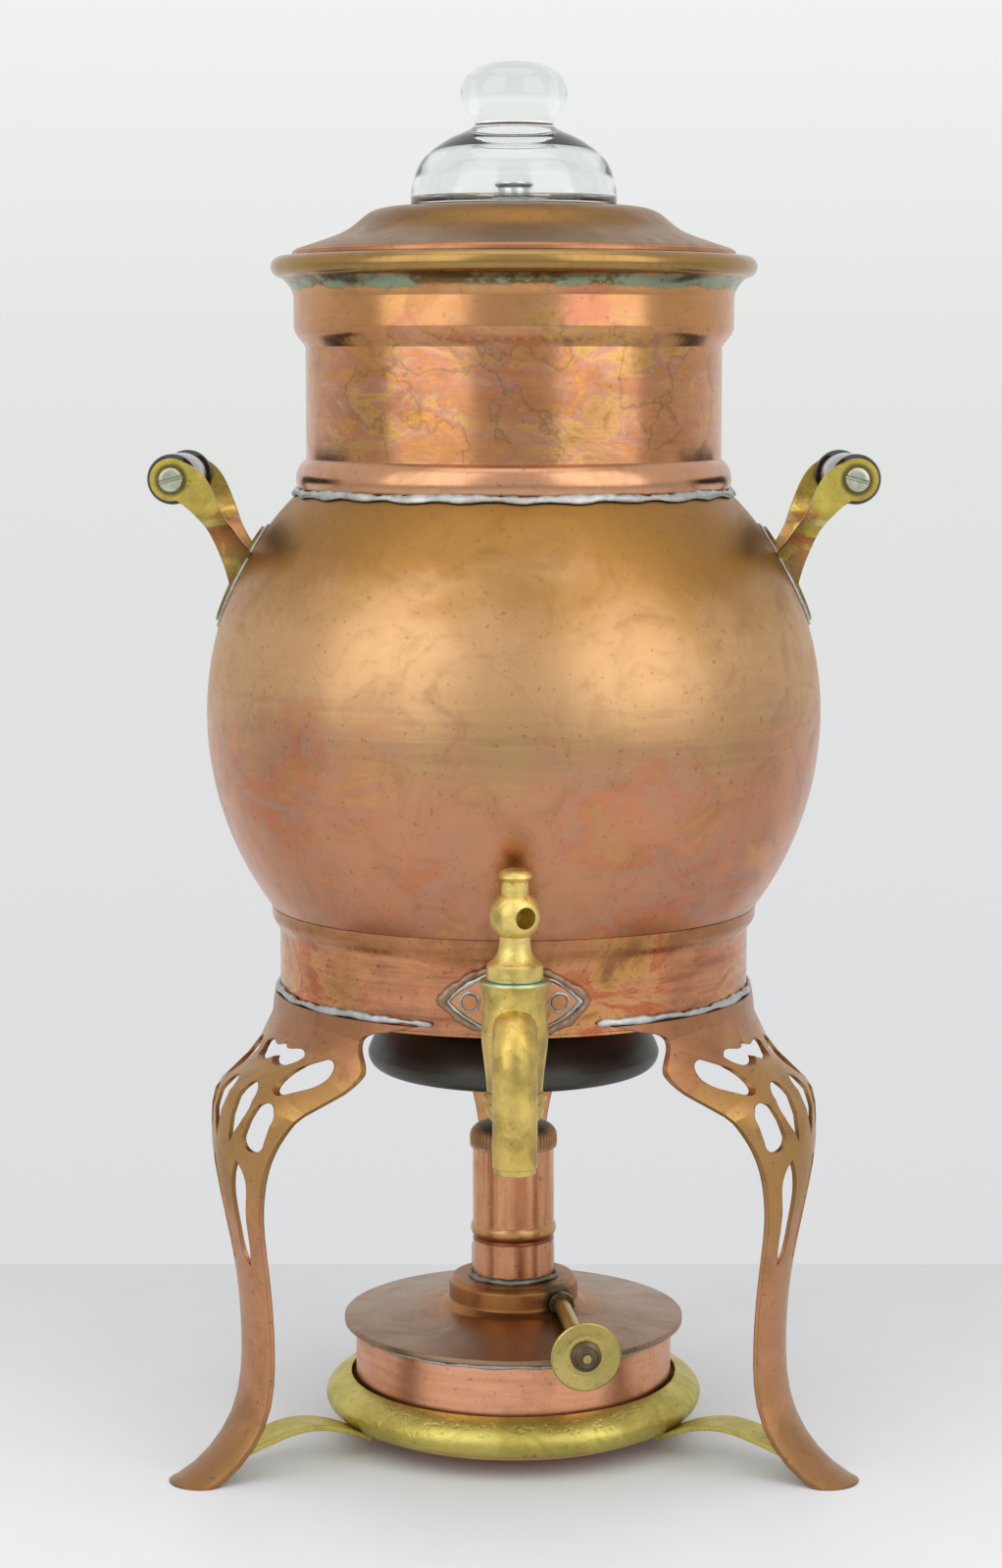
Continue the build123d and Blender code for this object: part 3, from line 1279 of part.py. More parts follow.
def wick_shaft():
    """Shaft with the toothed wheel that raises the wick, and a thin end for the knob and its nut."""
    half = WICK_WHEEL_WIDTH / 2
    journal_start = half + 3.0
    shoulder = SHAFT_LENGTH - SEAT_GAP
    stem_end = SHAFT_LENGTH + KNOB_BOSS + KNOB_DISC_THICK + KNOB_NUT_THICK + 0.5
    shape = post(SHAFT_R - 0.6, -half - 1.5, journal_start) + post(SHAFT_R, journal_start, shoulder)
    wheel = post(WICK_WHEEL_R, -half, half)
    stem = post(KNOB_STEM_R, shoulder - 1.0, stem_end)
    return single(on_shaft(shape + wheel + stem))


def shaft_bush():
    """Bush in the hub's wall that carries the shaft."""
    along_wall = sqrt(HUB_R**2 - SHAFT_OFFSET**2)
    bore = SHAFT_R + FIT_GAP
    sleeve = ring(bore, BUSH_SLEEVE_R, along_wall - 2.2, along_wall + BUSH_LENGTH)
    head = ring(bore, BUSH_R, along_wall + 1.0, along_wall + BUSH_LENGTH)
    return single(on_shaft(sleeve) + (on_shaft(head) - plate_mass(FIT_GAP)))


def wick_knob():
    """Dished brass disc on a short boss."""
    back = SHAFT_LENGTH
    face = back + KNOB_BOSS + KNOB_DISC_THICK
    bore = KNOB_STEM_R + FIT_GAP
    shape = turned_shape(
        (bore, back),
        (KNOB_HUB_R, back),
        (KNOB_HUB_R, back + KNOB_BOSS),
        (KNOB_DISC_R - 0.4, back + KNOB_BOSS + KNOB_DISH),
        (KNOB_DISC_R, back + KNOB_BOSS + KNOB_DISH + 0.6),
        (KNOB_DISC_R - 0.4, back + KNOB_BOSS + KNOB_DISH + 1.0),
        (KNOB_HUB_R + 2.0, face),
        (bore, face),
    )
    return on_shaft(shape)


def knob_nut():
    """Dark round nut in the middle of the knob, with a stepped face."""
    low = SHAFT_LENGTH + KNOB_BOSS + KNOB_DISC_THICK + FIT_GAP
    bore = KNOB_STEM_R + FIT_GAP
    top = low + KNOB_NUT_THICK
    step = top - 0.7
    shape = turned_shape(
        (bore, low),
        (KNOB_NUT_R, low),
        (KNOB_NUT_R, step - 0.5),
        (KNOB_NUT_R - 0.9, step),
        (KNOB_NUT_R - 1.4, top),
        (bore, top),
    )
    return on_shaft(shape)


def filler_neck():
    """Short brass neck through the plate behind the hub."""
    wall = ring(FILLER_NECK_R - 1.2, FILLER_NECK_R, BURNER_PLATE_Z + 1.2, FILLER_NECK_TOP_Z)
    return Pos(0, FILLER_Y, 0) * wall


def filler_cap():
    """Round cap over the filler's neck."""
    bore = FILLER_NECK_R + SLIP_GAP
    low = FILLER_CAP_BOTTOM_Z
    inner_top = FILLER_CAP_TOP_Z - FILLER_CAP_WALL
    shape = turned_shape(
        (bore, low),
        (FILLER_CAP_R, low),
        (FILLER_CAP_R, FILLER_CAP_TOP_Z - 1.6),
        (FILLER_CAP_R - 1.6, FILLER_CAP_TOP_Z),
        (0, FILLER_CAP_TOP_Z),
        (0, inner_top),
        (bore, inner_top),
    )
    return Pos(0, FILLER_Y, 0) * shape


def write_sides(name, shape):
    """Write the right-hand piece and its mirror image on the left."""
    write(f"{name}_right", shape)
    write(f"{name}_left", mirror(shape, Plane.YZ))


os.makedirs("parts", exist_ok=True)

write("body_ball", body_ball())
write("neck_collar", neck_collar())
write("neck_solder", neck_solder())
write("base_skirt", base_skirt())
write("urn_floor", urn_floor())
write("boiler_well", boiler_well())

write("lid_shell", lid_shell())
write("lid_collar", lid_collar())
write("dome_ring", dome_ring())
write("glass_dome", glass_dome())

write("pump_bell", pump_bell())
write("pump_tube", pump_tube())
write("valve_disc", valve_disc())
write("coffee_basket", coffee_basket())
write("basket_spreader", basket_spreader())

write("faucet_body", faucet_body())
write("faucet_key", faucet_key())
write("faucet_washer", faucet_washer())
write("faucet_nut", faucet_nut())
write("shank_gasket", shank_gasket())
write("shank_locknut", shank_locknut())
write("escutcheon", escutcheon())
write("escutcheon_solder", escutcheon_solder())
write("escutcheon_rivets", *escutcheon_rivets())

bracket = handle_bracket()
write_sides("handle_bracket", bracket)
write_sides("handle_solder", handle_solder(bracket))
write_sides("grip", grip())
write_sides("grip_rod", grip_rod())
write_sides("grip_nut", grip_nut())

one_leg = leg()
one_strut = tray_strut(one_leg)
for leg_name, leg_angle in zip(("leg_front_left", "leg_front_right", "leg_rear"), LEG_ANGLES):
    write(leg_name, Rot(0, 0, leg_angle) * one_leg)
write("leg_solder", *leg_solder())
write("tray_struts", *[Rot(0, 0, leg_angle) * one_strut for leg_angle in LEG_ANGLES])
write("tray_ring", tray_ring())
write("tray_pan", tray_pan())

write("burner_tank", burner_tank())
write("burner_top", burner_top())
write("plate_solder", plate_solder())
write("chimney", chimney())
write("chimney_solder", chimney_solder())
write("wick_tube", wick_tube())
write("wick", wick())
write("burner_cap", burner_cap())
write("wick_shaft", wick_shaft())
write("shaft_bush", shaft_bush())
write("wick_knob", wick_knob())
write("knob_nut", knob_nut())
write("filler_neck", filler_neck())
write("filler_cap", filler_cap())
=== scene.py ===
import math

import bmesh
import bpy
import numpy as np
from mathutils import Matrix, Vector


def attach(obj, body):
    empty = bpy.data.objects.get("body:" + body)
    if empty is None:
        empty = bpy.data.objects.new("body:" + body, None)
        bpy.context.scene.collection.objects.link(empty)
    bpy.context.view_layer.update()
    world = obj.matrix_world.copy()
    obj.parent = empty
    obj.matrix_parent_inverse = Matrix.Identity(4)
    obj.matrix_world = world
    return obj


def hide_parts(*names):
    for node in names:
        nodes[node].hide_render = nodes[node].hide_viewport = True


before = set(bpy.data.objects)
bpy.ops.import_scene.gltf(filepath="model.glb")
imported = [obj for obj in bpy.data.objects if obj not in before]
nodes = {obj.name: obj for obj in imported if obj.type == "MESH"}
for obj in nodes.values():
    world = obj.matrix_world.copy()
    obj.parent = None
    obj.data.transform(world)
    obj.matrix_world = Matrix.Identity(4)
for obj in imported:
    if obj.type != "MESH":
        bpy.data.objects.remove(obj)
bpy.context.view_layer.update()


# The ball: one sheet of copper spun to a globe and never polished. Its upper half has tarnished to a warm gold
# brown, darkest by the neck, and the lower half is pinker, partly bare copper and partly a painted reflection of the
# pale table. Spinning leaves faint rings round it.

MM = 0.001


def linear(hex_colour):
    """sRGB hex to linear red, green, blue and alpha."""
    values = np.array([int(hex_colour[i:i + 2], 16) / 255 for i in (1, 3, 5)])
    low, high = values / 12.92, ((values + 0.055) / 1.055) ** 2.4
    return (*np.where(values <= 0.04045, low, high).tolist(), 1.0)


def add(tree, kind, settings, output=0):
    """Adds a node. A setting is one of its properties, an input's value, another node's output or a ramp's stops.
    size_mm is the real size of a pattern's patches, whose inverse is the node's scale."""
    node = tree.nodes.new("ShaderNode" + kind)
    for name, value in settings.items():
        if name == "stops":
            ramp = node.color_ramp
            while len(ramp.elements) < len(value):
                ramp.elements.new(0.5)
            for element, (place, colour) in zip(ramp.elements, value):
                element.position = place
                element.color = linear(colour) if isinstance(colour, str) else (colour, colour, colour, 1.0)
        elif name == "size_mm":
            node.inputs["Scale"].default_value = (1 / (np.array(value) * MM)).tolist()
        elif isinstance(value, bpy.types.NodeSocket):
            tree.links.new(value, node.inputs[name])
        elif isinstance(name, str) and hasattr(node, name) and name not in node.inputs:
            setattr(node, name, value)
        elif isinstance(value, str):
            node.inputs[name].default_value = linear(value)
        else:
            node.inputs[name].default_value = value
    return node.outputs[output] if node.outputs else None


def new_material(name):
    """An empty node material and its tree."""
    material = bpy.data.materials.new(name)
    material.use_nodes = True
    material.node_tree.nodes.clear()
    return material, material.node_tree


def layered(tree, colour, *layers):
    """Lays tints over a colour, one after another. Each layer is its share, from 0 to 1, and its tint."""
    for share, tint in layers:
        colour = add(tree, "MixRGB", {"Fac": share, "Color1": colour, "Color2": tint})
    return colour


def zone(tree, measure, *edges, unit=MM):
    """A share along a measure, such as a height: the product of its edges. At each edge it goes smoothly from first
    to last while the measure goes from low to high."""
    product = None
    for low, high, first, last in edges:
        share = add(tree, "MapRange", {"interpolation_type": "SMOOTHSTEP", "Value": measure, "From Min": low * unit,
                                       "From Max": high * unit, "To Min": first, "To Max": last})
        product = add(tree, "Math", {"operation": "MULTIPLY", 0: product, 1: share}) if product else share
    return product


def uneven(tree, measure, noise, reach_mm):
    """A measure that a noise shifts by up to reach_mm either way, so that the edges of a zone wander."""
    drift = add(tree, "MapRange", {"Value": noise, "From Min": 0.3, "From Max": 0.7, "To Min": -reach_mm * MM,
                                   "To Max": reach_mm * MM})
    return add(tree, "Math", {"operation": "ADD", 0: measure, 1: drift})


def stretched(tree, place, size_mm, detail, roughness):
    """A noise whose patches have their own size along X, Y and Z."""
    squeezed = add(tree, "Mapping", {"Vector": place, "size_mm": size_mm})
    return add(tree, "TexNoise", {"Vector": squeezed, "Scale": 1.0, "Detail": detail, "Roughness": roughness})


# Patches of the patterns of worn metal. Rubbed lines and spinning rings are long round the piece and narrow along
# its height. Real grit, pits and rings are finer than these, which are drawn coarser so that they show.
SMEAR_MM, GRIT_MM, DENT_WIDE_MM, PIT_WIDE_MM = 16.67, 1.538, 29.41, 2.381
RUB_MM, RING_MM, RING_DEPTH_MM = (41.67, 41.67, 2.381), (33.33, 33.33, 1.111), 0.012


def worn_metal(name, clean, tarnish, dark, gloss, cloud_mm, stains=None, specks=0.5, edge="#5A4428",
               edge_share=0.5, edge_mm=0.4, dent_mm=0.5, pit_mm=0.0, spun=True, streaks=0.0, satin_from_mm=None):
    """Metal that has tarnished in clouds cloud_mm across, with darker smears and specks and worn edges. The edge
    colour also lies in its creases, where a dark one is painted shade. stains paints what belongs to one piece.
    streaks is the share of the darker lines that rubbing left round it. dent_mm is the depth of its slow dents and
    pit_mm that of its pits. The metal is duller above satin_from_mm."""
    material, tree = new_material(name)
    place = add(tree, "TexCoord", {}, "Object")
    height = add(tree, "SeparateXYZ", {"Vector": place}, "Z")
    clouds = add(tree, "TexNoise", {"Vector": place, "size_mm": cloud_mm, "Detail": 6.0, "Roughness": 0.6,
                                    "Distortion": 0.6})
    cloud_share = add(tree, "ValToRGB", {"Fac": clouds, "stops": [(0.36, 0.0), (0.66, 1.0)]})
    colour = layered(tree, clean, (cloud_share, tarnish))
    if streaks > 0:
        rubbed = stretched(tree, place, RUB_MM, 6.0, 0.65)
        rub_share = add(tree, "ValToRGB", {"Fac": rubbed, "stops": [(0.42, 0.0), (0.68, streaks)]})
        colour = layered(tree, colour, (rub_share, dark))
    if stains:
        colour = stains(tree, place, height, clouds, colour)
    smears = add(tree, "TexNoise", {"Vector": place, "size_mm": SMEAR_MM, "Detail": 9.0, "Roughness": 0.72,
                                    "Distortion": 1.4})
    smear_share = add(tree, "ValToRGB", {"Fac": smears, "stops": [(0.50, 0.0), (0.76, 0.42)]})
    grit = add(tree, "TexNoise", {"Vector": place, "size_mm": GRIT_MM, "Detail": 2.0, "Roughness": 0.5})
    grit_share = add(tree, "ValToRGB", {"Fac": grit, "stops": [(0.65, 0.0), (0.73, specks)]})
    # The edge colour goes where the bevelled normal turns from the face's: along edges, as wear, and in creases, where
    # a dark one is painted shade.
    soft_edge = add(tree, "Bevel", {"samples": 4, "Radius": edge_mm * MM})
    facing = add(tree, "NewGeometry", {}, "Normal")
    turn = add(tree, "VectorMath", {"operation": "DOT_PRODUCT", 0: soft_edge, 1: facing}, "Value")
    edge_wear_and_crease_shade = add(tree, "MapRange", {"Value": turn, "From Min": 0.90, "From Max": 0.995, "To Min": edge_share,
                                       "To Max": 0.0})
    colour = layered(tree, colour, (smear_share, dark), (grit_share, dark), (edge_wear_and_crease_shade, edge))
    roughness = add(tree, "MapRange", {"Value": smears, "From Min": 0.3, "From Max": 0.75, "To Min": gloss - 0.04,
                                       "To Max": gloss + 0.12})
    if satin_from_mm:
        satin = zone(tree, height, (satin_from_mm - 12, satin_from_mm + 12, 0.0, 0.12))
        roughness = add(tree, "Math", {"operation": "ADD", 0: roughness, 1: satin})
    dents = add(tree, "TexNoise", {"Vector": place, "size_mm": DENT_WIDE_MM, "Detail": 2.0, "Roughness": 0.4})
    relief = add(tree, "Math", {"operation": "MULTIPLY", 0: dents, 1: dent_mm * MM})
    if spun:
        rings = stretched(tree, place, RING_MM, 2.0, 0.5)
        relief = add(tree, "Math", {"operation": "MULTIPLY_ADD", 0: rings, 1: RING_DEPTH_MM * MM, 2: relief})
    if pit_mm > 0:
        pits = add(tree, "TexNoise", {"Vector": place, "size_mm": PIT_WIDE_MM, "Detail": 3.0, "Roughness": 0.6})
        pit_share = add(tree, "ValToRGB", {"Fac": pits, "stops": [(0.30, 0.0), (0.46, 1.0)]})
        relief = add(tree, "Math", {"operation": "MULTIPLY_ADD", 0: pit_share, 1: pit_mm * MM, 2: relief})
    surface = add(tree, "Bump", {"Strength": 1.0, "Distance": 1.0, "Height": relief, "Normal": soft_edge})
    shader = add(tree, "BsdfPrincipled", {"Base Color": colour, "Metallic": 1.0, "Roughness": roughness,
                                          "Normal": surface})
    add(tree, "OutputMaterial", {"Surface": shader})
    return material


def dress(material, *names):
    """Gives a material to nodes whose shape is kept."""
    for name in names:
        nodes[name].data.materials.clear()
        nodes[name].data.materials.append(material)


def bloomed(tree, place, colour, share, size_mm, tints):
    """Paints heat and oil colours in warped, flattened patches size_mm across, with at most that share."""
    flattened = add(tree, "Mapping", {"Vector": place, "Scale": (1.0, 1.0, 2.0)})
    warped = add(tree, "TexNoise", {"Vector": flattened, "size_mm": 1.25 * size_mm, "Detail": 8.0,
                                    "Roughness": 0.68, "Distortion": 1.1})
    tint = add(tree, "ValToRGB", {"Fac": warped, "stops": tints})
    where = add(tree, "TexNoise", {"Vector": place, "size_mm": 2.2 * size_mm, "Detail": 4.0, "Distortion": 1.0})
    bloom = add(tree, "MapRange", {"Value": where, "From Min": 0.42, "From Max": 0.60, "To Min": 0.0,
                                   "To Max": share})
    return layered(tree, colour, (bloom, tint))


def ball_stains_and_painted_reflection(tree, place, height, clouds, colour):
    """Even gold brown above the widest ring, darkest by the neck, and pink below it with heat colours: the pink is
    partly bare copper and partly a painted reflection of the table.
    """
    wavy = uneven(tree, height, clouds, 14)
    # Pink below the widest ring is partly bare copper and partly a painted reflection of the pale table.
    colour = layered(tree, colour, (zone(tree, wavy, (176, 206, 0.9, 0.0)), "#BC8262"),
                     (zone(tree, wavy, (196, 212, 0.0, 0.75)), "#C2996C"),
                     (zone(tree, wavy, (214, 250, 0.0, 0.9)), "#956B30"))
    tints = [(0.34, "#C99A48"), (0.43, "#C07A5E"), (0.50, "#A8836C"), (0.57, "#BE6C4C"), (0.66, "#B08A4C")]
    return bloomed(tree, place, colour, zone(tree, wavy, (184, 208, 0.8, 0.06)), 30, tints)


# Spun copper, unpolished: wide soft highlights, gold brown where it has tarnished, and pink low down, partly bare
# copper and partly a painted reflection of the table.
ball_copper = worn_metal("spun_copper_ball", "#C49D76", "#B89265", "#7A5836", 0.27, 45, ball_stains_and_painted_reflection, specks=0.45,
                         streaks=0.25, satin_from_mm=200)
dress(ball_copper, "body_ball")


# The neck: a copper collar turned in one piece with its beads and rolled rim. Handling kept it bright, and drips
# dried on it as gold, rose and violet blooms with olive tide lines. Verdigris sits under the rim, on a dark olive
# band that is partly the rim's painted shadow.

def collar_stains(tree, place, height, clouds, colour):
    """Blooms, dried tide lines, a gold and rose top band, a broken green line under the rim on a dark olive band that
    is partly the rim's painted shadow, and a brown rim.
    """
    tints = [(0.30, "#B27C46"), (0.39, "#CC9A46"), (0.46, "#B67052"), (0.52, "#A98884"), (0.57, "#CFA75A"),
             (0.64, "#968452"), (0.72, "#B86040")]
    colour = bloomed(tree, place, colour, 0.48, 17, tints)
    dried = add(tree, "TexNoise", {"Vector": place, "size_mm": 37.04, "Detail": 7.0, "Roughness": 0.55,
                                   "Distortion": 0.3})
    tide_line = add(tree, "ValToRGB", {"Fac": dried, "stops": [(0.526, 0.0), (0.535, 0.6), (0.546, 0.0)]})
    rosy = add(tree, "ValToRGB", {"Fac": dried, "stops": [(0.50, 0.0), (0.545, 0.6)]})
    on_band = zone(tree, height, (298.5, 302.0, 0.0, 1.0))
    rosy_band = add(tree, "Math", {"operation": "MULTIPLY", 0: rosy, 1: on_band})
    patchy = add(tree, "TexNoise", {"Vector": place, "size_mm": 16.67, "Detail": 7.0, "Roughness": 0.75})
    # A dark olive band under the rim: partly crust and partly the rim's painted shadow, broken by green verdigris.
    crust_and_rim_shadow = zone(tree, uneven(tree, height, patchy, 1.2), (309.6, 310.6, 0.0, 1.0), (312.6, 313.4, 1.0, 0.0))
    broken = add(tree, "ValToRGB", {"Fac": patchy, "stops": [(0.47, 0.0), (0.52, 0.85)]})
    verdigris = add(tree, "Math", {"operation": "MULTIPLY", 0: crust_and_rim_shadow, 1: broken})
    return layered(tree, colour, (tide_line, "#7C6A42"), (zone(tree, height, (298.5, 302.0, 0.0, 0.5)), "#C0905A"),
                   (zone(tree, height, (265.0, 266.2, 0.75, 0.0)), "#C49474"), (rosy_band, "#B8705C"),
                   (zone(tree, height, (312.6, 313.6, 0.0, 0.85)), "#967A46"), (crust_and_rim_shadow, "#6A5836"),
                   (verdigris, "#889880"))


# Turned copper that hands keep bright: sharper upright reflections than the ball's, under thin oil colours.
neck_copper = worn_metal("wiped_copper_collar", "#C88C68", "#BA8252", "#744A26", 0.20, 30, collar_stains,
                         specks=0.3, streaks=0.2)
dress(neck_copper, "neck_collar", "lid_collar")


# The base: a copper skirt drawn in under the ball, a flat floor seamed into it, and the boiler well below, a copper
# saucer that the burner's flame has blackened. The skirt's edge over the flame went orange red.

def skirt_stains(tree, place, height, clouds, colour):
    """Orange red patches, and brown in the curve below the lip."""
    tints = [(0.36, "#D47C44"), (0.44, "#B4603A"), (0.50, "#D09468"), (0.57, "#C09048"), (0.66, "#8E5C3C")]
    colour = bloomed(tree, place, colour, 0.85, 20, tints)
    return layered(tree, colour, (zone(tree, height, (138.5, 144.0, 0.0, 0.45)), "#8A6038"))


# Drawn copper, heated over and over: rubbed lines run round it, with orange and brown heat colours between them.
skirt_copper = worn_metal("drawn_copper_skirt", "#CC8C6C", "#B67A54", "#62402A", 0.24, 22, skirt_stains, streaks=0.6)
dress(skirt_copper, "base_skirt", "urn_floor")


def axis_distance(tree, place):
    """The distance from the urn's axis: the length of the place without its height."""
    flat = add(tree, "VectorMath", {"operation": "MULTIPLY", 0: place, 1: (1, 1, 0)})
    return add(tree, "VectorMath", {"operation": "LENGTH", 0: flat}, "Value")


def clouded_skin(name, ground, cloud, gloss, cloud_mm, edge_radius_mm=None):
    """A skin that isn't bare metal, such as soot or polish, with clouds cloud_mm across in a second colour and a
    relief 0.1 mm deep. It is greyer past edge_radius_mm from the axis."""
    material, tree = new_material(name)
    place = add(tree, "TexCoord", {}, "Object")
    clouds = add(tree, "TexNoise", {"Vector": place, "size_mm": cloud_mm, "Detail": 6.0, "Roughness": 0.65,
                                    "Distortion": 0.8})
    share = add(tree, "ValToRGB", {"Fac": clouds, "stops": [(0.4, 0.0), (0.75, 1.0)]})
    colour = layered(tree, ground, (share, cloud))
    if edge_radius_mm:
        rubbed = zone(tree, axis_distance(tree, place), (edge_radius_mm - 1.2, edge_radius_mm, 0.0, 0.7))
        colour = layered(tree, colour, (rubbed, "#38362F"))
    roughness = add(tree, "MapRange", {"Value": clouds, "From Min": 0.3, "From Max": 0.7, "To Min": gloss,
                                       "To Max": gloss + 0.15})
    soft_edge = add(tree, "Bevel", {"samples": 4, "Radius": 0.3 * MM})
    surface = add(tree, "Bump", {"Strength": 1.0, "Distance": 0.1 * MM, "Height": clouds, "Normal": soft_edge})
    shader = add(tree, "BsdfPrincipled", {"Base Color": colour, "Roughness": roughness, "Normal": surface})
    add(tree, "OutputMaterial", {"Surface": shader})
    return material


# Copper under baked soot: nearly black with a low sheen, and greyer towards its edge.
dress(clouded_skin("sooted_copper_well", "#1B1A17", "#2A2824", 0.34, 16, edge_radius_mm=39), "boiler_well")


# The solder: every seam was filled by hand with a stick of tin solder, so each line swells and thins. It runs round
# the neck, over each leg's flange, round the tap's plate and its rivets, and round the handles' leaf-shaped feet.

def wobble(along, seed):
    """An uneven line between about -1 and 1: a mean of sines of along, each faster and weaker than the last."""
    waves = np.array([2.0, 5.0, 9.0, 17.0, 31.0])
    strength = 1 / (1 + 0.22 * waves)
    turns = np.multiply.outer(along, waves) + seed * np.sqrt(waves + 1)
    return (np.sin(turns) * strength).sum(-1) / strength.sum() * 1.9


def grid_faces(rows, columns, closed_rows, closed_columns):
    """The four-cornered faces of a grid of points. A closed direction also joins its last points to its first."""
    row = np.arange(rows if closed_rows else rows - 1)[:, None]
    column = np.arange(columns if closed_columns else columns - 1)[None, :]
    next_row, next_column = (row + 1) % rows, (column + 1) % columns
    corners = [row * columns + column, row * columns + next_column,
               next_row * columns + next_column, next_row * columns + column]
    return np.stack(np.broadcast_arrays(*corners), axis=-1).reshape(-1, 4)


def new_piece(name, grid_mm, material, body, slot, *replaced, closed=(True, True)):
    """A smooth closed piece from a grid of points in millimetres. Its faces are turned round where the volume that
    they enclose, a sum of triple products, comes out negative."""
    faces = grid_faces(*grid_mm.shape[:2], *closed)
    points = grid_mm.reshape(-1, 3) * MM
    a, b, c, d = (points[faces[:, corner]] for corner in range(4))
    volume = (np.cross(a, b) * c).sum() + (np.cross(a, c) * d).sum()
    if volume < 0:
        faces = faces[:, ::-1]
    mesh = bpy.data.meshes.new(name)
    mesh.from_pydata(points.tolist(), [], faces.tolist())
    merged = bmesh.new()
    merged.from_mesh(mesh)
    bmesh.ops.remove_doubles(merged, verts=merged.verts, dist=1e-6)
    merged.to_mesh(mesh)
    merged.free()
    mesh.polygons.foreach_set("use_smooth", [True] * len(mesh.polygons))
    mesh.materials.append(material)
    piece = bpy.data.objects.new(name, mesh)
    bpy.context.scene.collection.objects.link(piece)
    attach(piece, body)
    if replaced:
        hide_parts(*replaced)


# Tin solder, cast in place and never filed: soft silver light on lumps, dulled to grey, with dark pores.
solder = worn_metal("tin_solder", "#BDBFBE", "#A3A5A3", "#6A6860", 0.46, 5, edge_share=0.0, dent_mm=0.2, pit_mm=0.06,
                    spun=False)

BEAD_POINTS_ROUND = 14
BEAD_WAVE_MM = 75


def solder_bead(name, path, outward, wide_mm, high_mm, seed, *replaced, metal=solder, body="urn", closed=True):
    """A lumpy bead along a path of points that each have an outward direction: at each point an oval wide_mm across
    the path and high_mm out of the surface, both swelling unevenly along it. An open bead's ends shrink to a point."""
    steps = len(path)
    along = np.linspace(0, 1, steps, endpoint=not closed) * 2 * np.pi
    if closed:
        forward = np.roll(path, -1, axis=0) - np.roll(path, 1, axis=0)
        ends = np.ones(steps)
    else:
        forward = np.gradient(path, axis=0)
        ends = np.sqrt(np.clip(1 - np.linspace(-1, 1, steps) ** 40, 0, 1))
    across = np.cross(forward, outward)
    across /= np.linalg.norm(across, axis=1, keepdims=True)
    length_mm = np.linalg.norm(forward, axis=1).sum() / 2
    along = along * max(1, round(length_mm / BEAD_WAVE_MM))
    half_wide = wide_mm / 2 * (1 + 0.30 * wobble(along, seed)) * ends
    half_high = high_mm * (1 + 0.25 * wobble(along, seed + 2.6)) * ends
    drift = 0.14 * wide_mm * wobble(along, seed + 5.1) * ends
    around = np.linspace(0, 2 * np.pi, BEAD_POINTS_ROUND, endpoint=False)
    rise = np.where(np.sin(around) > 0, np.sin(around), 0.35 * np.sin(around))
    side = np.sign(np.cos(around)) * np.abs(np.cos(around)) ** 0.9
    middle = path + across * drift[:, None]
    grid = (middle[:, None, :] + across[:, None, :] * half_wide[:, None, None] * side[None, :, None]
            + outward[:, None, :] * half_high[:, None, None] * rise[None, :, None])
    new_piece(name, grid, metal, body, "solder", *replaced, closed=(closed, True))


def circle_path(radius_mm, height_mm, outward_tilt, start=0.0, end=360.0, steps=700, closed=True):
    """Points round the Z axis between two angles, with directions that tilt up from the radius."""
    angle = np.radians(np.linspace(start, end, steps, endpoint=not closed))
    ring = np.stack([np.cos(angle), np.sin(angle), np.zeros_like(angle)], axis=-1)
    tilt = math.radians(outward_tilt)
    outward = ring * math.cos(tilt) + np.array([0, 0, math.sin(tilt)])
    return ring * radius_mm + np.array([0, 0, height_mm]), outward


def lens_outline(half_length, half_width, steps=160):
    """A closed outline of two equal arcs: along it goes from -half_length to half_length and back, and across is the
    height of the circle through both ends and the middle."""
    curve = (half_length ** 2 + half_width ** 2) / (2 * half_width)
    turn = math.asin(half_length / curve)
    angle = np.linspace(-turn, turn, steps, endpoint=False)
    along = np.concatenate([np.sin(angle), -np.sin(angle)]) * curve
    across = np.concatenate([np.cos(angle) * curve + half_width - curve, -np.cos(angle) * curve - half_width + curve])
    return along, across


NECK_SEAM_R, NECK_SEAM_Z, NECK_SEAM_TILT = 58.0, 257.0, 38
solder_bead("neck_solder_line", *circle_path(NECK_SEAM_R, NECK_SEAM_Z, NECK_SEAM_TILT), 2.4, 0.7, 1.0, "neck_solder")

LEG_SEAM_R, LEG_SEAM_Z, LEG_SEAM_TILT, LEG_SEAM_HALF_ANGLE = 63.6, 124.1, 25, 41
for leg_name, middle, seed, replaced in (("front_left", -150, 3.0, ["leg_solder"]), ("front_right", -30, 4.0, []),
                                         ("rear", 90, 5.0, [])):
    leg_seam = circle_path(LEG_SEAM_R, LEG_SEAM_Z, LEG_SEAM_TILT, middle - LEG_SEAM_HALF_ANGLE,
                           middle + LEG_SEAM_HALF_ANGLE, 300, closed=False)
    solder_bead(f"leg_solder_{leg_name}", *leg_seam, 1.9, 0.8, seed, *replaced, closed=False)

PLATE_MIDDLE_Z = 130.4
PLATE_EDGE_R, PLATE_LIP_R, RIVET_R = 64.0, 63.2, 64.2
PLATE_EDGE_HALVES, PLATE_LIP_HALVES = (16.9, 7.9), (18.2, 8.9)
RIVET_X, RIVET_RING_R = 11.3, 2.35


def on_skirt_front(along, across, reach_mm):
    """Points on the skirt's front, from sideways and upward distances from the plate's middle, and their outward
    directions."""
    points = np.stack([along, -np.sqrt(reach_mm ** 2 - along ** 2), across + PLATE_MIDDLE_Z], axis=-1)
    return points, points * np.array([1, 1, 0]) / reach_mm


plate_edge = on_skirt_front(*lens_outline(*PLATE_EDGE_HALVES), PLATE_EDGE_R)
solder_bead("escutcheon_solder_line", *plate_edge, 1.1, 0.7, 7.0, "escutcheon_solder")

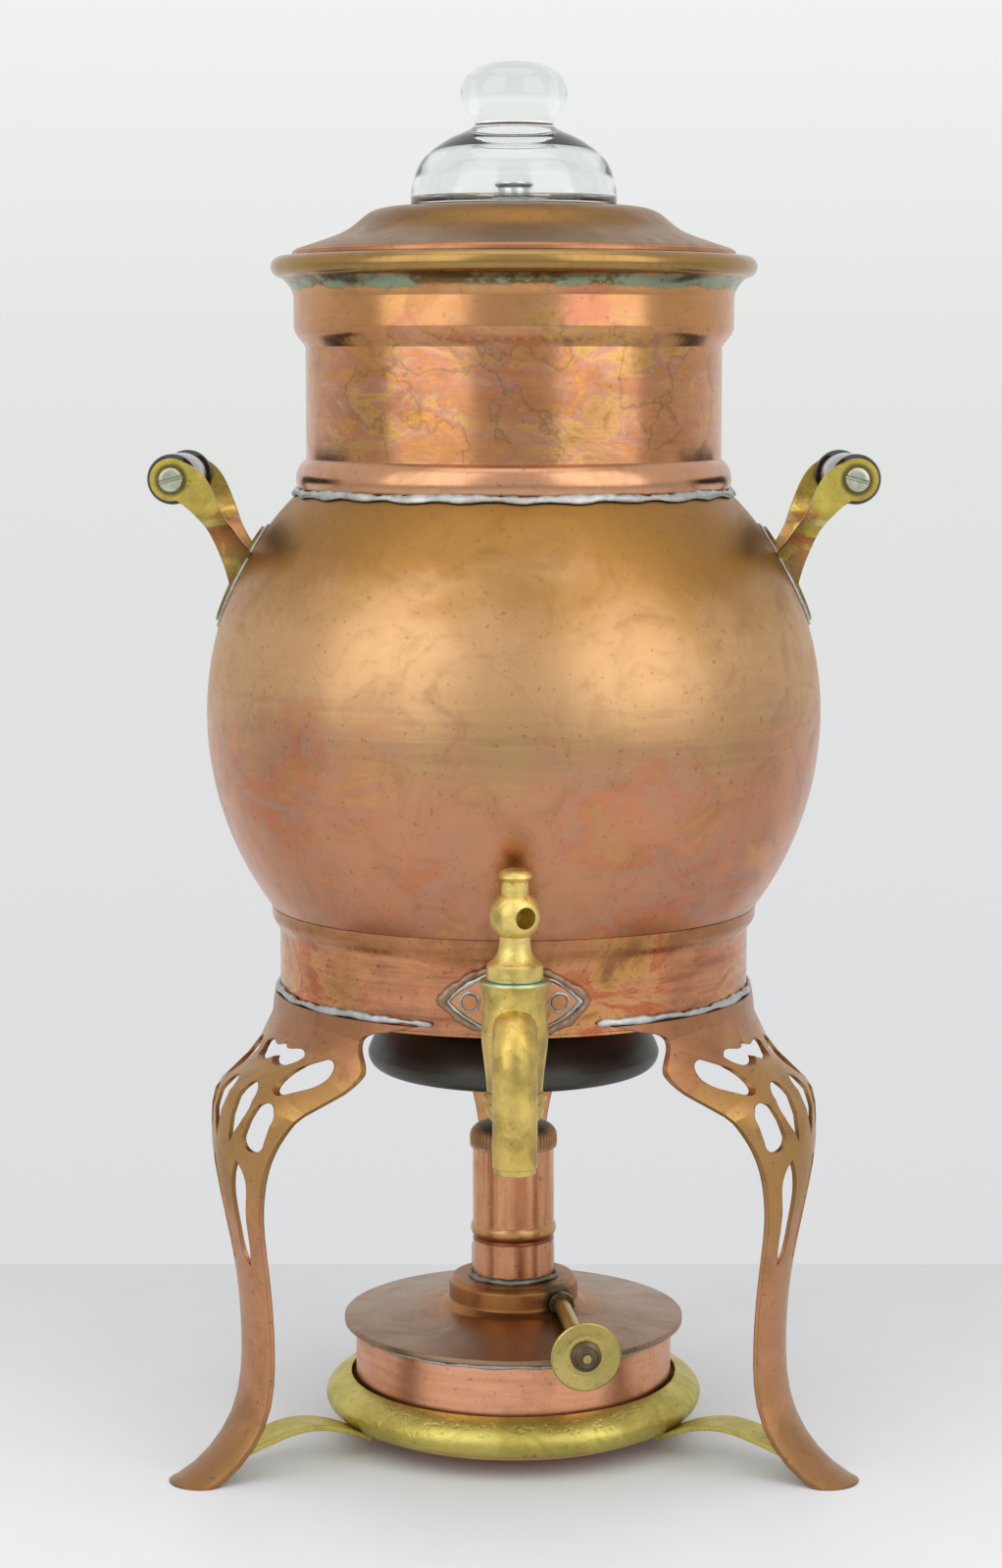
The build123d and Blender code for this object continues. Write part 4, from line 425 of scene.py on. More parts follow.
# Copper lip with solder run over it: brown grey and rough, with a darker skin than the bare plate.
raised_lip = worn_metal("soldered_copper_lip", "#9C8068", "#8A7058", "#4A4034", 0.40, 5, edge_share=0.0, dent_mm=0.1,
                        pit_mm=0.08, spun=False)
plate_lip = on_skirt_front(*lens_outline(*PLATE_LIP_HALVES), PLATE_LIP_R)
solder_bead("escutcheon_raised_lip", *plate_lip, 2.3, 1.7, 8.0, metal=raised_lip)

turn = np.linspace(0, 2 * np.pi, 60, endpoint=False)
for side, centre in (("left", -RIVET_X), ("right", RIVET_X)):
    rivet_edge = on_skirt_front(centre + RIVET_RING_R * np.cos(turn), RIVET_RING_R * np.sin(turn), RIVET_R)
    solder_bead(f"rivet_ring_{side}", *rivet_edge, 0.8, 0.35, 6.0 + centre)

BALL_MIDDLE_Z, BALL_SKIN_R = 198.0, 82.3
LEAF_HALF_LENGTH, LEAF_HALF_WIDTH = 14.7, 11.6
LEAF_LEAN = math.radians(26.8)
along, across = lens_outline(LEAF_HALF_LENGTH, LEAF_HALF_WIDTH)
depth = np.sqrt(BALL_SKIN_R ** 2 - along ** 2 - across ** 2)
up_ball = np.array([-math.sin(LEAF_LEAN), 0, math.cos(LEAF_LEAN)])
off_ball = np.array([math.cos(LEAF_LEAN), 0, math.sin(LEAF_LEAN)])
leaf_edge = along[:, None] * up_ball + across[:, None] * np.array([0, 1, 0]) + depth[:, None] * off_ball
for side, mirror in (("right", 1), ("left", -1)):
    turned = leaf_edge * np.array([mirror, 1, 1])
    solder_bead(f"handle_solder_line_{side}", turned + np.array([0, 0, BALL_MIDDLE_Z]), turned / BALL_SKIN_R, 1.3, 0.6,
                9.0 + mirror, f"handle_solder_{side}")


# The lid: a pressed copper disc with a low crown, which rests its brim on the rim. Steam browned it evenly and
# raised a fine grain, and the edge of its brim shows a bright copper line.

def lid_stains(tree, place, height, clouds, colour):
    """Orange gold on the crown, and a bright copper line along the brim's edge."""
    radius = axis_distance(tree, place)
    return layered(tree, colour, (zone(tree, radius, (26, 40, 0.55, 0.0)), "#AC7636"),
                   (zone(tree, radius, (57.4, 58.2, 0.0, 0.8)), "#BE8462"))


# Pressed copper with a brown steam skin: even and dull, so it takes one broad highlight.
lid_copper = worn_metal("browned_copper_lid", "#926A38", "#866231", "#5E4220", 0.30, 40, lid_stains, specks=0.6,
                        streaks=0.25)
dress(lid_copper, "lid_shell")


# The dome: clear pressed glass, blown to a thin bell with a solid knob, so the brew can be seen spurting. A short
# neck with three bayonet lugs goes down through the lid.

def smooth_line(points, steps):
    """A rounded line through points: between two of them each step is a cubic that leaves along the line between
    their neighbours."""
    points = np.array(points, dtype=float)
    padded = np.vstack([2 * points[0] - points[1], points, 2 * points[-1] - points[-2]])
    share = np.linspace(0, 1, steps, endpoint=False)[:, None]
    parts = []
    for before, first, last, after in zip(padded, padded[1:], padded[2:], padded[3:]):
        leave, arrive = (last - before) / 2, (after - first) / 2
        parts.append(first + leave * share + (3 * (last - first) - 2 * leave - arrive) * share ** 2
                     + (2 * (first - last) + leave + arrive) * share ** 3)
    return np.vstack(parts + [points[-1:]])


def lathe_points(profile, columns, shape=None):
    """A profile of radius and height turned round the Z axis. shape gives a change of radius for each angle and
    profile point."""
    radius, height = np.array(profile, dtype=float).T
    angle = np.linspace(0, 2 * np.pi, columns, endpoint=False)
    change = shape(angle[:, None], radius[None, :], height[None, :]) if shape else 0.0
    wide = radius[None, :] + change + np.zeros((columns, 1))
    tall = np.broadcast_to(height[None, :], wide.shape)
    return np.stack([wide * np.cos(angle)[:, None], wide * np.sin(angle)[:, None], tall], axis=-1)


DOME_COLUMNS = 192
NECK_LOW_Z, NECK_OUT_R, NECK_IN_R, FOOT_Z = 325.05, 22.25, 20.1, 332.3
BELL = [(27.25, 332.5), (27.2, 334.5), (26.9, 337.0), (26.3, 339.2), (25.4, 341.8), (24.0, 344.1), (22.0, 346.1),
        (19.6, 347.9), (16.6, 349.7), (13.6, 351.0), (11.5, 352.0), (10.5, 353.0)]
KNOB = [(10.5, 353.7), (11.2, 354.6), (12.4, 356.2), (13.5, 358.4), (14.05, 361.0), (13.7, 363.6), (12.2, 366.2),
        (9.3, 368.1), (5.2, 369.1), (0.0, 369.4)]
HOLLOW = [(0.0, 349.3), (6.0, 349.2), (10.5, 348.9), (14.2, 347.9), (17.3, 346.6), (19.8, 345.1), (21.9, 343.3),
          (23.3, 341.5), (24.4, 339.3), (25.1, 337.0), (25.5, 334.8), (25.5, 333.9)]
NECK = [(25.3, 333.35), (24.9, 333.1), (NECK_IN_R + 0.5, 333.0), (NECK_IN_R, 332.6), (NECK_IN_R, NECK_LOW_Z),
        (NECK_OUT_R, NECK_LOW_Z), (NECK_OUT_R, FOOT_Z - 0.4), (NECK_OUT_R + 0.4, FOOT_Z), (BELL[0][0] - 0.5, FOOT_Z)]
LUG_MIDDLE_R, LUG_MIDDLE_Z, LUG_HALF_WIDE, LUG_HALF_HIGH, LUG_HALF_ANGLE = 23.35, 325.85, 1.2, 0.75, 11


def lug_points(middle_angle):
    """One bayonet lug: a rounded bar that follows the neck, with a fourth-power oval for its section. Both ends
    shrink to a point."""
    angle = np.radians(middle_angle + np.linspace(-LUG_HALF_ANGLE, LUG_HALF_ANGLE, 25))
    taper = np.clip(1 - np.linspace(-1, 1, 25) ** 30, 0, 1) ** 0.5
    around = np.linspace(0, 2 * np.pi, 20, endpoint=False)
    square = (np.abs(np.cos(around)) ** 4 + np.abs(np.sin(around)) ** 4) ** -0.25
    radius = LUG_MIDDLE_R + LUG_HALF_WIDE * (square * np.cos(around))[None, :] * taper[:, None]
    height = LUG_MIDDLE_Z + LUG_HALF_HIGH * (square * np.sin(around))[None, :] * taper[:, None]
    return np.stack([radius * np.cos(angle)[:, None], radius * np.sin(angle)[:, None], height], axis=-1)


# Clear soda glass, pressed in a mould: sharp lights along its edges, with ripples 17 mm long that bend what is seen.
glass, glass_tree = new_material("clear_pressed_glass")
glass_place = add(glass_tree, "TexCoord", {}, "Object")
ripples = add(glass_tree, "TexNoise", {"Vector": glass_place, "size_mm": 16.67, "Detail": 1.0})
ripple_relief = add(glass_tree, "Bump", {"Strength": 1.0, "Distance": 0.03 * MM, "Height": ripples})
glass_shader = add(glass_tree, "BsdfPrincipled", {"Base Color": "#F6F9F8", "Roughness": 0.0, "IOR": 1.5,
                                                  "Transmission Weight": 1.0, "Normal": ripple_relief})
add(glass_tree, "OutputMaterial", {"Surface": glass_shader})

dome_profile = np.vstack([smooth_line(BELL + KNOB, 7), smooth_line(HOLLOW, 5), NECK])
new_piece("glass_dome_bell", lathe_points(dome_profile, DOME_COLUMNS), glass, "dome", "clear_glass", "glass_dome")
for index in range(3):
    new_piece(f"glass_dome_lug_{index + 1}", lug_points(120 * index), glass, "dome", "clear_glass",
              closed=(False, True))


# The percolator's pump, basket and spreader: spun aluminium, dulled by coffee, with a loose valve disc. The tube is
# drawn, with a stop ring for the basket and a short flared lip that shows in the dome.

def eased_corners(points, reach_mm):
    """A closed outline whose every corner is cut twice, within reach_mm of it, so that it shades as a crisp edge."""
    points = np.array(points, dtype=float)
    eased = []
    for before, corner, after in zip(np.roll(points, 1, axis=0), points, np.roll(points, -1, axis=0)):
        for neighbour, shares in ((before, (1.0, 0.4)), (after, (0.4, 1.0))):
            direction = (neighbour - corner) / np.linalg.norm(neighbour - corner)
            eased += [corner + direction * reach_mm * share for share in shares]
    return np.array(eased)


# Spun aluminium: a cool, pale satin with faint rings, duller than the brass and copper round it.
aluminium = worn_metal("spun_aluminium", "#E2E3E4", "#D0D1D1", "#9A9A96", 0.30, 20, edge="#8C8C88", edge_share=0.3)
dress(aluminium, "pump_bell", "valve_disc", "coffee_basket", "basket_spreader")

TUBE_R, TUBE_BORE_R, STOP_R, LIP_R = 4.1, 3.3, 7.0, 5.1
TUBE_FOOT_Z, STOP_LOW_Z, STOP_TOP_Z, TUBE_TOP_Z = 113.4, 222.1, 224.1, 338.5
tube_outline = [(TUBE_BORE_R, TUBE_FOOT_Z), (TUBE_R, TUBE_FOOT_Z), (TUBE_R, STOP_LOW_Z - 1), (STOP_R, STOP_LOW_Z),
                (STOP_R, STOP_TOP_Z), (TUBE_R, STOP_TOP_Z), (TUBE_R, TUBE_TOP_Z - 1.2), (LIP_R, TUBE_TOP_Z - 0.5),
                (LIP_R, TUBE_TOP_Z), (LIP_R - 0.6, TUBE_TOP_Z), (TUBE_BORE_R, TUBE_TOP_Z - 1.2)]
new_piece("pump_tube_drawn", lathe_points(eased_corners(tube_outline, 0.12), 72), aluminium, "pump", "aluminium",
          "pump_tube")


# The faucet: a cast and turned brass tap with a satin, pitted skin, olive where hands don't reach. Its seam under
# the key has a pale green line. Washer, nut and locknut are the same brass, and its plate is soldered and riveted.

def faucet_stains(tree, place, height, clouds, colour):
    """A pale green line in the seam under the key, and olive patches."""
    patchy = add(tree, "TexNoise", {"Vector": place, "size_mm": 7.692, "Detail": 4.0})
    olive = add(tree, "ValToRGB", {"Fac": patchy, "stops": [(0.48, 0.0), (0.62, 0.6)]})
    seam = zone(tree, height, (139.2, 140.0, 0.0, 1.0), (140.4, 141.2, 1.0, 0.0))
    return layered(tree, colour, (olive, "#93834A"), (seam, "#B4C09C"))


# Cast brass, left as it came from the sand: yellow satin with pits. The key is turned, and its brass is painted
# paler, as painted light on its shaded ball.
cast_skin = {"edge": "#8A7640", "edge_share": 0.4, "dent_mm": 0.04, "pit_mm": 0.08, "spun": False}
faucet_brass = worn_metal("cast_brass_faucet", "#DBBE6D", "#C4A85A", "#6E5E30", 0.36, 12, faucet_stains, **cast_skin)
dress(faucet_brass, "faucet_body", "faucet_washer", "faucet_nut", "shank_locknut")
# The key's paler copy of the tap's brass is painted light.
key_brass_painted_paler = worn_metal("turned_brass_key", "#E6CE80", "#D0B868", "#746434", 0.42, 12, faucet_stains, **cast_skin)
dress(key_brass_painted_paler, "faucet_key")

# Stamped copper plate: pink, with dark grime along its cut edge. The gasket inside is dull red vulcanised fibre.
plate_copper = worn_metal("copper_escutcheon", "#D0946E", "#C08A60", "#70502E", 0.26, 10, edge="#54402E",
                          edge_share=0.8, dent_mm=0.2, spun=False)
dress(plate_copper, "escutcheon", "escutcheon_rivets")
dress(clouded_skin("red_fibre", "#5A2E22", "#6E4030", 0.6, 4), "shank_gasket")


# The handles: two-armed brackets cut from yellow brass sheet and soldered to the ball, each with a turned wooden
# spool, stained black and polished, on a steel rod with a slotted head.

ROD_X, ROD_Z = 88.9, 260.8


def bracket_stains(tree, place, height, clouds, colour):
    """Reddish patches along the arms, darker olive brown where they meet the ball, and a dark ring round each rod."""
    patchy = add(tree, "TexNoise", {"Vector": place, "size_mm": 13.33, "Detail": 6.0, "Roughness": 0.6,
                                    "Distortion": 0.7})
    red = add(tree, "ValToRGB", {"Fac": patchy, "stops": [(0.44, 0.0), (0.52, 0.85)]})
    ball_middle = (0, 0, BALL_MIDDLE_Z * MM)
    off_middle = add(tree, "VectorMath", {"operation": "DISTANCE", 0: place, 1: ball_middle}, "Value")
    near_ball = zone(tree, off_middle, (94, 106, 1.0, 0.1))
    red_here = add(tree, "Math", {"operation": "MULTIPLY", 0: red, 1: near_ball})
    mirrored = add(tree, "VectorMath", {"operation": "ABSOLUTE", 0: place})
    level = add(tree, "VectorMath", {"operation": "MULTIPLY", 0: mirrored, 1: (1, 0, 1)})
    off_rod = add(tree, "VectorMath", {"operation": "DISTANCE", 0: level, 1: (ROD_X * MM, 0, ROD_Z * MM)}, "Value")
    return layered(tree, colour, (red_here, "#A66A48"), (zone(tree, off_middle, (84.6, 90.5, 0.6, 0.0)), "#6A6238"),
                   (zone(tree, off_rod, (3.6, 4.8, 0.85, 0.0)), "#4E5236"))


# Rolled brass sheet, bent cold: clear greenish yellow with bright flats, red where zinc has left it.
bracket_brass = worn_metal("yellow_sheet_brass", "#D0BE5C", "#B6A24E", "#6A5A2A", 0.30, 9, bracket_stains,
                           edge="#5E4A22", edge_share=0.6, dent_mm=0.25, pit_mm=0.05, spun=False)
dress(bracket_brass, "handle_bracket_left", "handle_bracket_right")

# Turned hardwood, stained black and waxed: deep black with one crisp light along it.
dress(clouded_skin("polished_black_wood", "#0E0C11", "#17151B", 0.07, 16), "grip_left", "grip_right")

# Steel dipped in tin: pale grey green, scuffed, with dark edges in the slots.
rod_steel = worn_metal("tinned_steel", "#C4C6B4", "#A8AA96", "#6A7058", 0.34, 4, edge="#5E6A50", edge_share=0.7,
                       dent_mm=0.1, spun=False)
dress(rod_steel, "grip_rod_left", "grip_rod_right", "grip_nut_left", "grip_nut_right")


# The legs: three pierced and arched strips of copper sheet with dark cut edges, soldered to the skirt by their
# flanges. The knees have tarnished to gold and olive, and the shins have stayed pink.

def leg_stains(tree, place, height, clouds, colour):
    """Gold and olive from the flange down to the calf, pink below, brown on the flange and olive on the foot."""
    wavy = uneven(tree, height, clouds, 12)
    return layered(tree, colour, (zone(tree, wavy, (58, 82, 0.0, 0.85), (108, 116, 1.0, 0.25)), "#A57F4A"),
                   (zone(tree, wavy, (108, 117, 0.0, 0.7)), "#96654A"),
                   (zone(tree, wavy, (6, 22, 0.7, 0.0)), "#8A683E"))


# Cut copper sheet: a dull satin with grime along every cut edge, which draws the pattern of the piercing.
leg_copper = worn_metal("pierced_copper_sheet", "#C08A66", "#B28056", "#6A4A32", 0.32, 22, leg_stains, edge="#5A402A",
                        edge_share=0.75, edge_mm=0.35, dent_mm=0.25, spun=False)
dress(leg_copper, "leg_front_left", "leg_front_right", "leg_rear")


# The tray: a brass ring pressed to a bulge, held between the legs by three brass straps. Its copper pan is dressed
# with the tank, below.

# Pressed brass, never lacquered: an olive yellow satin with many fine pits.
strap_brass = worn_metal("pressed_brass", "#CBBD68", "#B4A656", "#5E562A", 0.42, 14, edge="#6E602E", dent_mm=0.06,
                         pit_mm=0.12, spun=False)
dress(strap_brass, "tray_ring", "tray_struts")


# The burner: a copper spirit tank with a browned top plate, soldered on, a hub and a chimney for the round wick.
# The chimney is streaked from the flame, with a brassy bead over a dark red groove.

BUSH_PLACE = (0.0128, -0.0128, 0.0385)
TANK_SEAM_R, TANK_SEAM_Z, TANK_SEAM_TILT = 43.7, 29.3, -15
CHIMNEY_SEAM_R, CHIMNEY_SEAM_Z, CHIMNEY_SEAM_TILT = 11.4, 43.0, 40

# Spun copper, kept bright by spirit: light salmon pink with rubbed lines round it.
tank_copper = worn_metal("bright_copper_tank", "#E7AA88", "#DA9C76", "#8E563C", 0.32, 24, edge_share=0.3, streaks=0.3)
dress(tank_copper, "burner_tank", "tray_pan")


def plate_stains(tree, place, height, clouds, colour):
    """Warm brown round the hub, and dark green round the shaft's bush."""
    patchy = add(tree, "TexNoise", {"Vector": place, "size_mm": 4.762, "Detail": 5.0, "Roughness": 0.7})
    off_bush = add(tree, "VectorMath", {"operation": "DISTANCE", 0: place, 1: BUSH_PLACE}, "Value")
    wavy = uneven(tree, off_bush, patchy, 4)
    return layered(tree, colour, (zone(tree, axis_distance(tree, place), (19, 30, 0.8, 0.0)), "#A8713E"),
                   (zone(tree, wavy, (3.5, 8.5, 0.85, 0.0)), "#3E463A"))


# Copper browned by the flame above it: a matt grey brown that still mirrors the wall when seen edge on.
top_copper = worn_metal("browned_copper_plate", "#A08268", "#93775E", "#6A5236", 0.34, 26, plate_stains, edge_mm=0.9,
                        edge_share=0.2)
dress(top_copper, "burner_top")


def chimney_stains(tree, place, height, clouds, colour):
    """Streaks 71 mm long and 4 mm wide down the tube, a gold bead and the dark red groove below it."""
    streak = stretched(tree, place, (3.846, 3.846, 71.43), 5.0, 0.6)
    share = add(tree, "ValToRGB", {"Fac": streak, "stops": [(0.44, 0.0), (0.62, 0.75)]})
    bead = zone(tree, height, (54.0, 54.8, 0.0, 1.0), (57.2, 58.0, 0.8, 0.0))
    groove = zone(tree, height, (52.6, 53.2, 0.0, 1.0), (54.0, 54.6, 0.9, 0.0))
    return layered(tree, colour, (share, "#A76A4A"), (bead, "#B88E58"), (groove, "#74382A"))


# Drawn copper tube, heated from inside: narrow upright lights, crossed by red brown streaks.
chimney_copper = worn_metal("streaked_copper_chimney", "#D29A76", "#C48C64", "#74462E", 0.26, 18, chimney_stains)
dress(chimney_copper, "chimney")

solder_bead("plate_solder_line", *circle_path(TANK_SEAM_R, TANK_SEAM_Z, TANK_SEAM_TILT, steps=500), 1.3, 0.6, 12.0,
            "plate_solder", body="burner")

# Solder that spirit and soot have stained: dull green grey.
dull_solder = worn_metal("stained_solder", "#7E8478", "#6A7066", "#3A4038", 0.45, 4, edge_share=0.0, dent_mm=0.2,
                         pit_mm=0.08, spun=False)
solder_bead("chimney_solder_line", *circle_path(CHIMNEY_SEAM_R, CHIMNEY_SEAM_Z, CHIMNEY_SEAM_TILT, steps=260), 1.7,
            0.7, 14.0, "chimney_solder", metal=dull_solder, body="burner")


# The cap that snuffs the burner: a turned cup over the chimney with a low dome, a finely knurled band for the
# fingers and a lip that knocks have made a little wavy.

CAP_R, CAP_BORE_R, CAP_LIP_Z = 11.9, 11.42, 78.65
WALL_FROM_R = 11.5
RIDGE_COUNT, RIDGE_DEPTH = 64, 0.22
KNURL_LOW_Z, KNURL_TOP_Z = 79.6, 84.6
LIP_WAVE, LIP_WAVE_TOP_Z = 0.1, 79.5


def cap_shape(angle, radius, height):
    """Rounded ridges on the outside, each half a sine deep, which fade out at both ends of the knurled band. The lip
    waves in and out below them."""
    outside = np.where(radius > WALL_FROM_R, 1.0, np.clip((radius - 8.0) / 2.5, 0, 1) * (height > 83.0))
    band = np.clip((height - KNURL_LOW_Z) / 0.3, 0, 1) * np.clip((KNURL_TOP_Z - height) / 1.2, 0, 1)
    ridges = RIDGE_DEPTH * np.abs(np.sin(RIDGE_COUNT / 2 * angle)) - RIDGE_DEPTH
    lip = np.clip((LIP_WAVE_TOP_Z - height) / 0.8, 0, 1) * LIP_WAVE * wobble(angle, 4.0)
    return outside * band * ridges + np.where(radius > WALL_FROM_R, lip - LIP_WAVE * (lip != 0), 0.0)


def cap_stains(tree, place, height, clouds, colour):
    """Grey green on the crown from the soot, dark grooves between the ridges and pale green spots along the lip."""
    sideways = add(tree, "SeparateXYZ", {"Vector": place}, "X")
    backward = add(tree, "SeparateXYZ", {"Vector": place}, "Y")
    angle = add(tree, "Math", {"operation": "ARCTAN2", 0: backward, 1: sideways})
    turned = add(tree, "Math", {"operation": "MULTIPLY", 0: angle, 1: RIDGE_COUNT / 2})
    wave = add(tree, "Math", {"operation": "SINE", 0: turned})
    ridge = add(tree, "Math", {"operation": "ABSOLUTE", 0: wave})
    hollow = zone(tree, ridge, (0.1, 0.55, 0.75, 0.0), unit=1.0)
    knurled = zone(tree, height, (83.8, 84.8, 1.0, 0.0), (79.5, 80.0, 0.0, 1.0))
    groove = add(tree, "Math", {"operation": "MULTIPLY", 0: hollow, 1: knurled})
    patchy = add(tree, "TexNoise", {"Vector": place, "size_mm": 3.333, "Detail": 4.0})
    spots = add(tree, "ValToRGB", {"Fac": patchy, "stops": [(0.46, 0.0), (0.58, 0.8)]})
    low_spots = add(tree, "Math", {"operation": "MULTIPLY", 0: spots, 1: zone(tree, height, (79.0, 79.7, 1.0, 0.0))})
    return layered(tree, colour, (zone(tree, height, (83.8, 85.2, 0.0, 0.7)), "#A39C8A"), (groove, "#4A3220"),
                   (low_spots, "#A9B5A0"))


# Turned copper under a film of soot: dull brown, with the ridges' tops rubbed pale.
cap_copper = worn_metal("browned_copper_cap", "#B5885F", "#A07850", "#5E4830", 0.46, 7, cap_stains, edge="#C8BC98",
                        edge_share=0.2, edge_mm=0.15, dent_mm=0.05, pit_mm=0.04, spun=False)

outer_height = np.linspace(CAP_LIP_Z + 0.15, 81.6, 20)
outer_wall = np.stack([np.full(20, CAP_R), outer_height], axis=-1)
crown = smooth_line([(CAP_R, 81.7), (CAP_R - 0.25, 82.7), (CAP_R - 0.9, 83.7), (CAP_R - 2.0, 84.5), (7.6, 85.15),
                     (5.0, 85.6), (2.0, 85.9), (0.0, 85.95)], 6)
inside = [(0.0, 84.85), (4.0, 84.6), (8.9, 83.6), (10.6, 82.8), (CAP_BORE_R, 81.6), (CAP_BORE_R, CAP_LIP_Z)]
cap_profile = np.vstack([[(CAP_BORE_R + 0.25, CAP_LIP_Z)], outer_wall, crown, inside])
new_piece("burner_cap_knurled", lathe_points(cap_profile, 8 * RIDGE_COUNT, cap_shape), cap_copper, "cap",
          "burner_copper", "burner_cap")


# The wick: a round braid of cotton that stands in the tank and ends, singed, inside the chimney. Eighteen strands
# cross each other round it.

WICK_R, STRAND_DEPTH, STRAND_PAIRS, STRAND_SLOPE = 7.98, 0.45, 4.5, 0.55


def wick_shape(angle, radius, height):
    """Two crossing sets of nine strands each: the skin stands out where either strand's sine is highest."""
    rising = np.abs(np.sin(STRAND_PAIRS * angle + height * STRAND_SLOPE))
    falling = np.abs(np.sin(STRAND_PAIRS * angle - height * STRAND_SLOPE))
    return np.where(radius > 7.5, STRAND_DEPTH * np.maximum(rising, falling) - STRAND_DEPTH, 0.0)


def cotton(name, fibre, shadow, singed, singed_from_mm):
    """Soft braided cotton: pale fibre with darker hollows, singed brown near the top. The hollows are 1.1 mm across,
    coarser than those between real fibres, so that they show."""
    material, tree = new_material(name)
    place = add(tree, "TexCoord", {}, "Object")
    height = add(tree, "SeparateXYZ", {"Vector": place}, "Z")
    fuzz = add(tree, "TexNoise", {"Vector": place, "size_mm": 1.111, "Detail": 4.0})
    burnt = zone(tree, height, (singed_from_mm, singed_from_mm + 5, 0.0, 0.9))
    colour = layered(tree, fibre, (fuzz, shadow), (burnt, singed))
    surface = add(tree, "Bump", {"Strength": 1.0, "Distance": 0.15 * MM, "Height": fuzz})
    shader = add(tree, "BsdfPrincipled", {"Base Color": colour, "Roughness": 0.9, "Normal": surface})
    add(tree, "OutputMaterial", {"Surface": shader})
    return material


# Unbleached cotton, braided: cream and fully matt, with its end burnt brown.
wick_cotton = cotton("braided_cotton", "#D8D0BC", "#A89E86", "#3A2E22", 68)
wick_side = np.stack([np.full(120, WICK_R), np.linspace(12.5, 73.2, 120)], axis=-1)
wick_profile = np.vstack([[(0.0, 12.02), (4.0, 12.05), (7.0, 12.1)], wick_side,
                          [(7.0, 73.8), (5.0, 73.95), (2.5, 73.9), (0.0, 73.95)]])
new_piece("wick_braid", lathe_points(wick_profile, 144, wick_shape), wick_cotton, "wick", "cotton", "wick",
          closed=(True, False))


# The controls: a turned brass knob, dished, on the wick's shaft, which a dark bronze bush lets through the hub, with
# a small dark nut on its end. The filler's neck and cap and the ring under the lid are turned from the same brass.

# Turned brass, long unpolished: khaki yellow, with dark rings along its corners, painted shade where a corner turns
# inward.
control_brass = worn_metal("turned_brass_controls", "#BCAA66", "#A6965A", "#585028", 0.34, 10, edge="#5E5630",
                           edge_share=0.6, edge_mm=0.3, dent_mm=0.05, pit_mm=0.06, spun=False)
dress(control_brass, "wick_knob", "wick_shaft", "wick_tube", "filler_neck", "filler_cap", "dome_ring")

# Oiled bronze: dark brown, with pale edges where the tool has bared it.
nut_bronze = worn_metal("dark_bronze", "#6A5C4A", "#55493A", "#2E2822", 0.36, 3, edge="#A08A58", edge_share=0.6,
                        edge_mm=0.2, dent_mm=0.1, spun=False)
dress(nut_bronze, "knob_nut", "shaft_bush")


# The room: a pale table slab and a pale wall, which is the world itself. A tall soft light stands on each side of
# the camera and one hangs overhead.

TABLE_HALF_WIDTH, TABLE_FRONT, TABLE_BACK, TABLE_THICKNESS = 1.5, -1.3, 0.166, 0.03
FRONT_LOW, FRONT_HIGH, BEHIND, DIFFUSE = 0.60, 0.88, 0.88, 0.72


def table_top():
    """Flat pale slab, from under the camera to just behind the object's rear foot: its eight corners, a face above
    and below, and one on each side."""
    mesh = bpy.data.meshes.new("table")
    outline = [(-TABLE_HALF_WIDTH, TABLE_FRONT), (TABLE_HALF_WIDTH, TABLE_FRONT),
               (TABLE_HALF_WIDTH, TABLE_BACK), (-TABLE_HALF_WIDTH, TABLE_BACK)]
    corners = [(x, y, z) for z in (-TABLE_THICKNESS, 0.0) for x, y in outline]
    sides = [(i, (i + 1) % 4, (i + 1) % 4 + 4, i + 4) for i in range(4)]
    mesh.from_pydata(corners, [], [(3, 2, 1, 0), (4, 5, 6, 7)] + sides)
    table = bpy.data.objects.new("table", mesh)
    bpy.context.scene.collection.objects.link(table)
    material, tree = new_material("pale_table")
    place = add(tree, "TexCoord", {}, "Object")
    depth = add(tree, "SeparateXYZ", {"Vector": place}, "Y")
    share = add(tree, "MapRange", {"Value": depth, "From Min": -0.2, "From Max": 0.17})
    # Painted shade: the slab's colour darkens towards the back, in place of the light falling off there.
    painted_light_falloff = add(tree, "ValToRGB", {"Fac": share, "stops": [(0.0, "#EEF1F4"), (0.5, "#E8EBEE"), (1.0, "#D9DBDD")]})
    grain = add(tree, "TexNoise", {"Vector": place, "size_mm": 33.33, "Detail": 4.0})
    mottled = add(tree, "MixRGB", {"blend_type": "MULTIPLY", "Fac": 0.06, "Color1": painted_light_falloff, "Color2": grain})
    shader = add(tree, "BsdfPrincipled", {"Base Color": mottled, "Roughness": 0.55})
    add(tree, "OutputMaterial", {"Surface": shader})
    mesh.materials.append(material)


def soft_light(name, place, aim, wide, tall, brightness):
    """Rectangular lamp that points at aim. Its brightness is the value that its face shows."""
    lamp = bpy.data.lights.new(name, "AREA")
    lamp.shape = "RECTANGLE"
    lamp.size, lamp.size_y = wide, tall
    lamp.energy = brightness * math.pi * wide * tall
    holder = bpy.data.objects.new(name, lamp)
    holder.location = place
    holder.rotation_euler = (Vector(aim) - Vector(place)).to_track_quat("-Z", "Y").to_euler()
    holder.visible_camera = False
    bpy.context.scene.collection.objects.link(holder)


table_top()
soft_light("left_box", (-0.66, -0.64, 0.84), (0, 0, 0.72), 0.85, 1.25, 1.25)
soft_light("right_box", (0.66, -0.64, 0.84), (0, 0, 0.72), 0.85, 1.25, 1.35)
soft_light("top_box", (0.0, -0.1, 1.5), (0, 0, 0.2), 1.2, 1.0, 0.9)

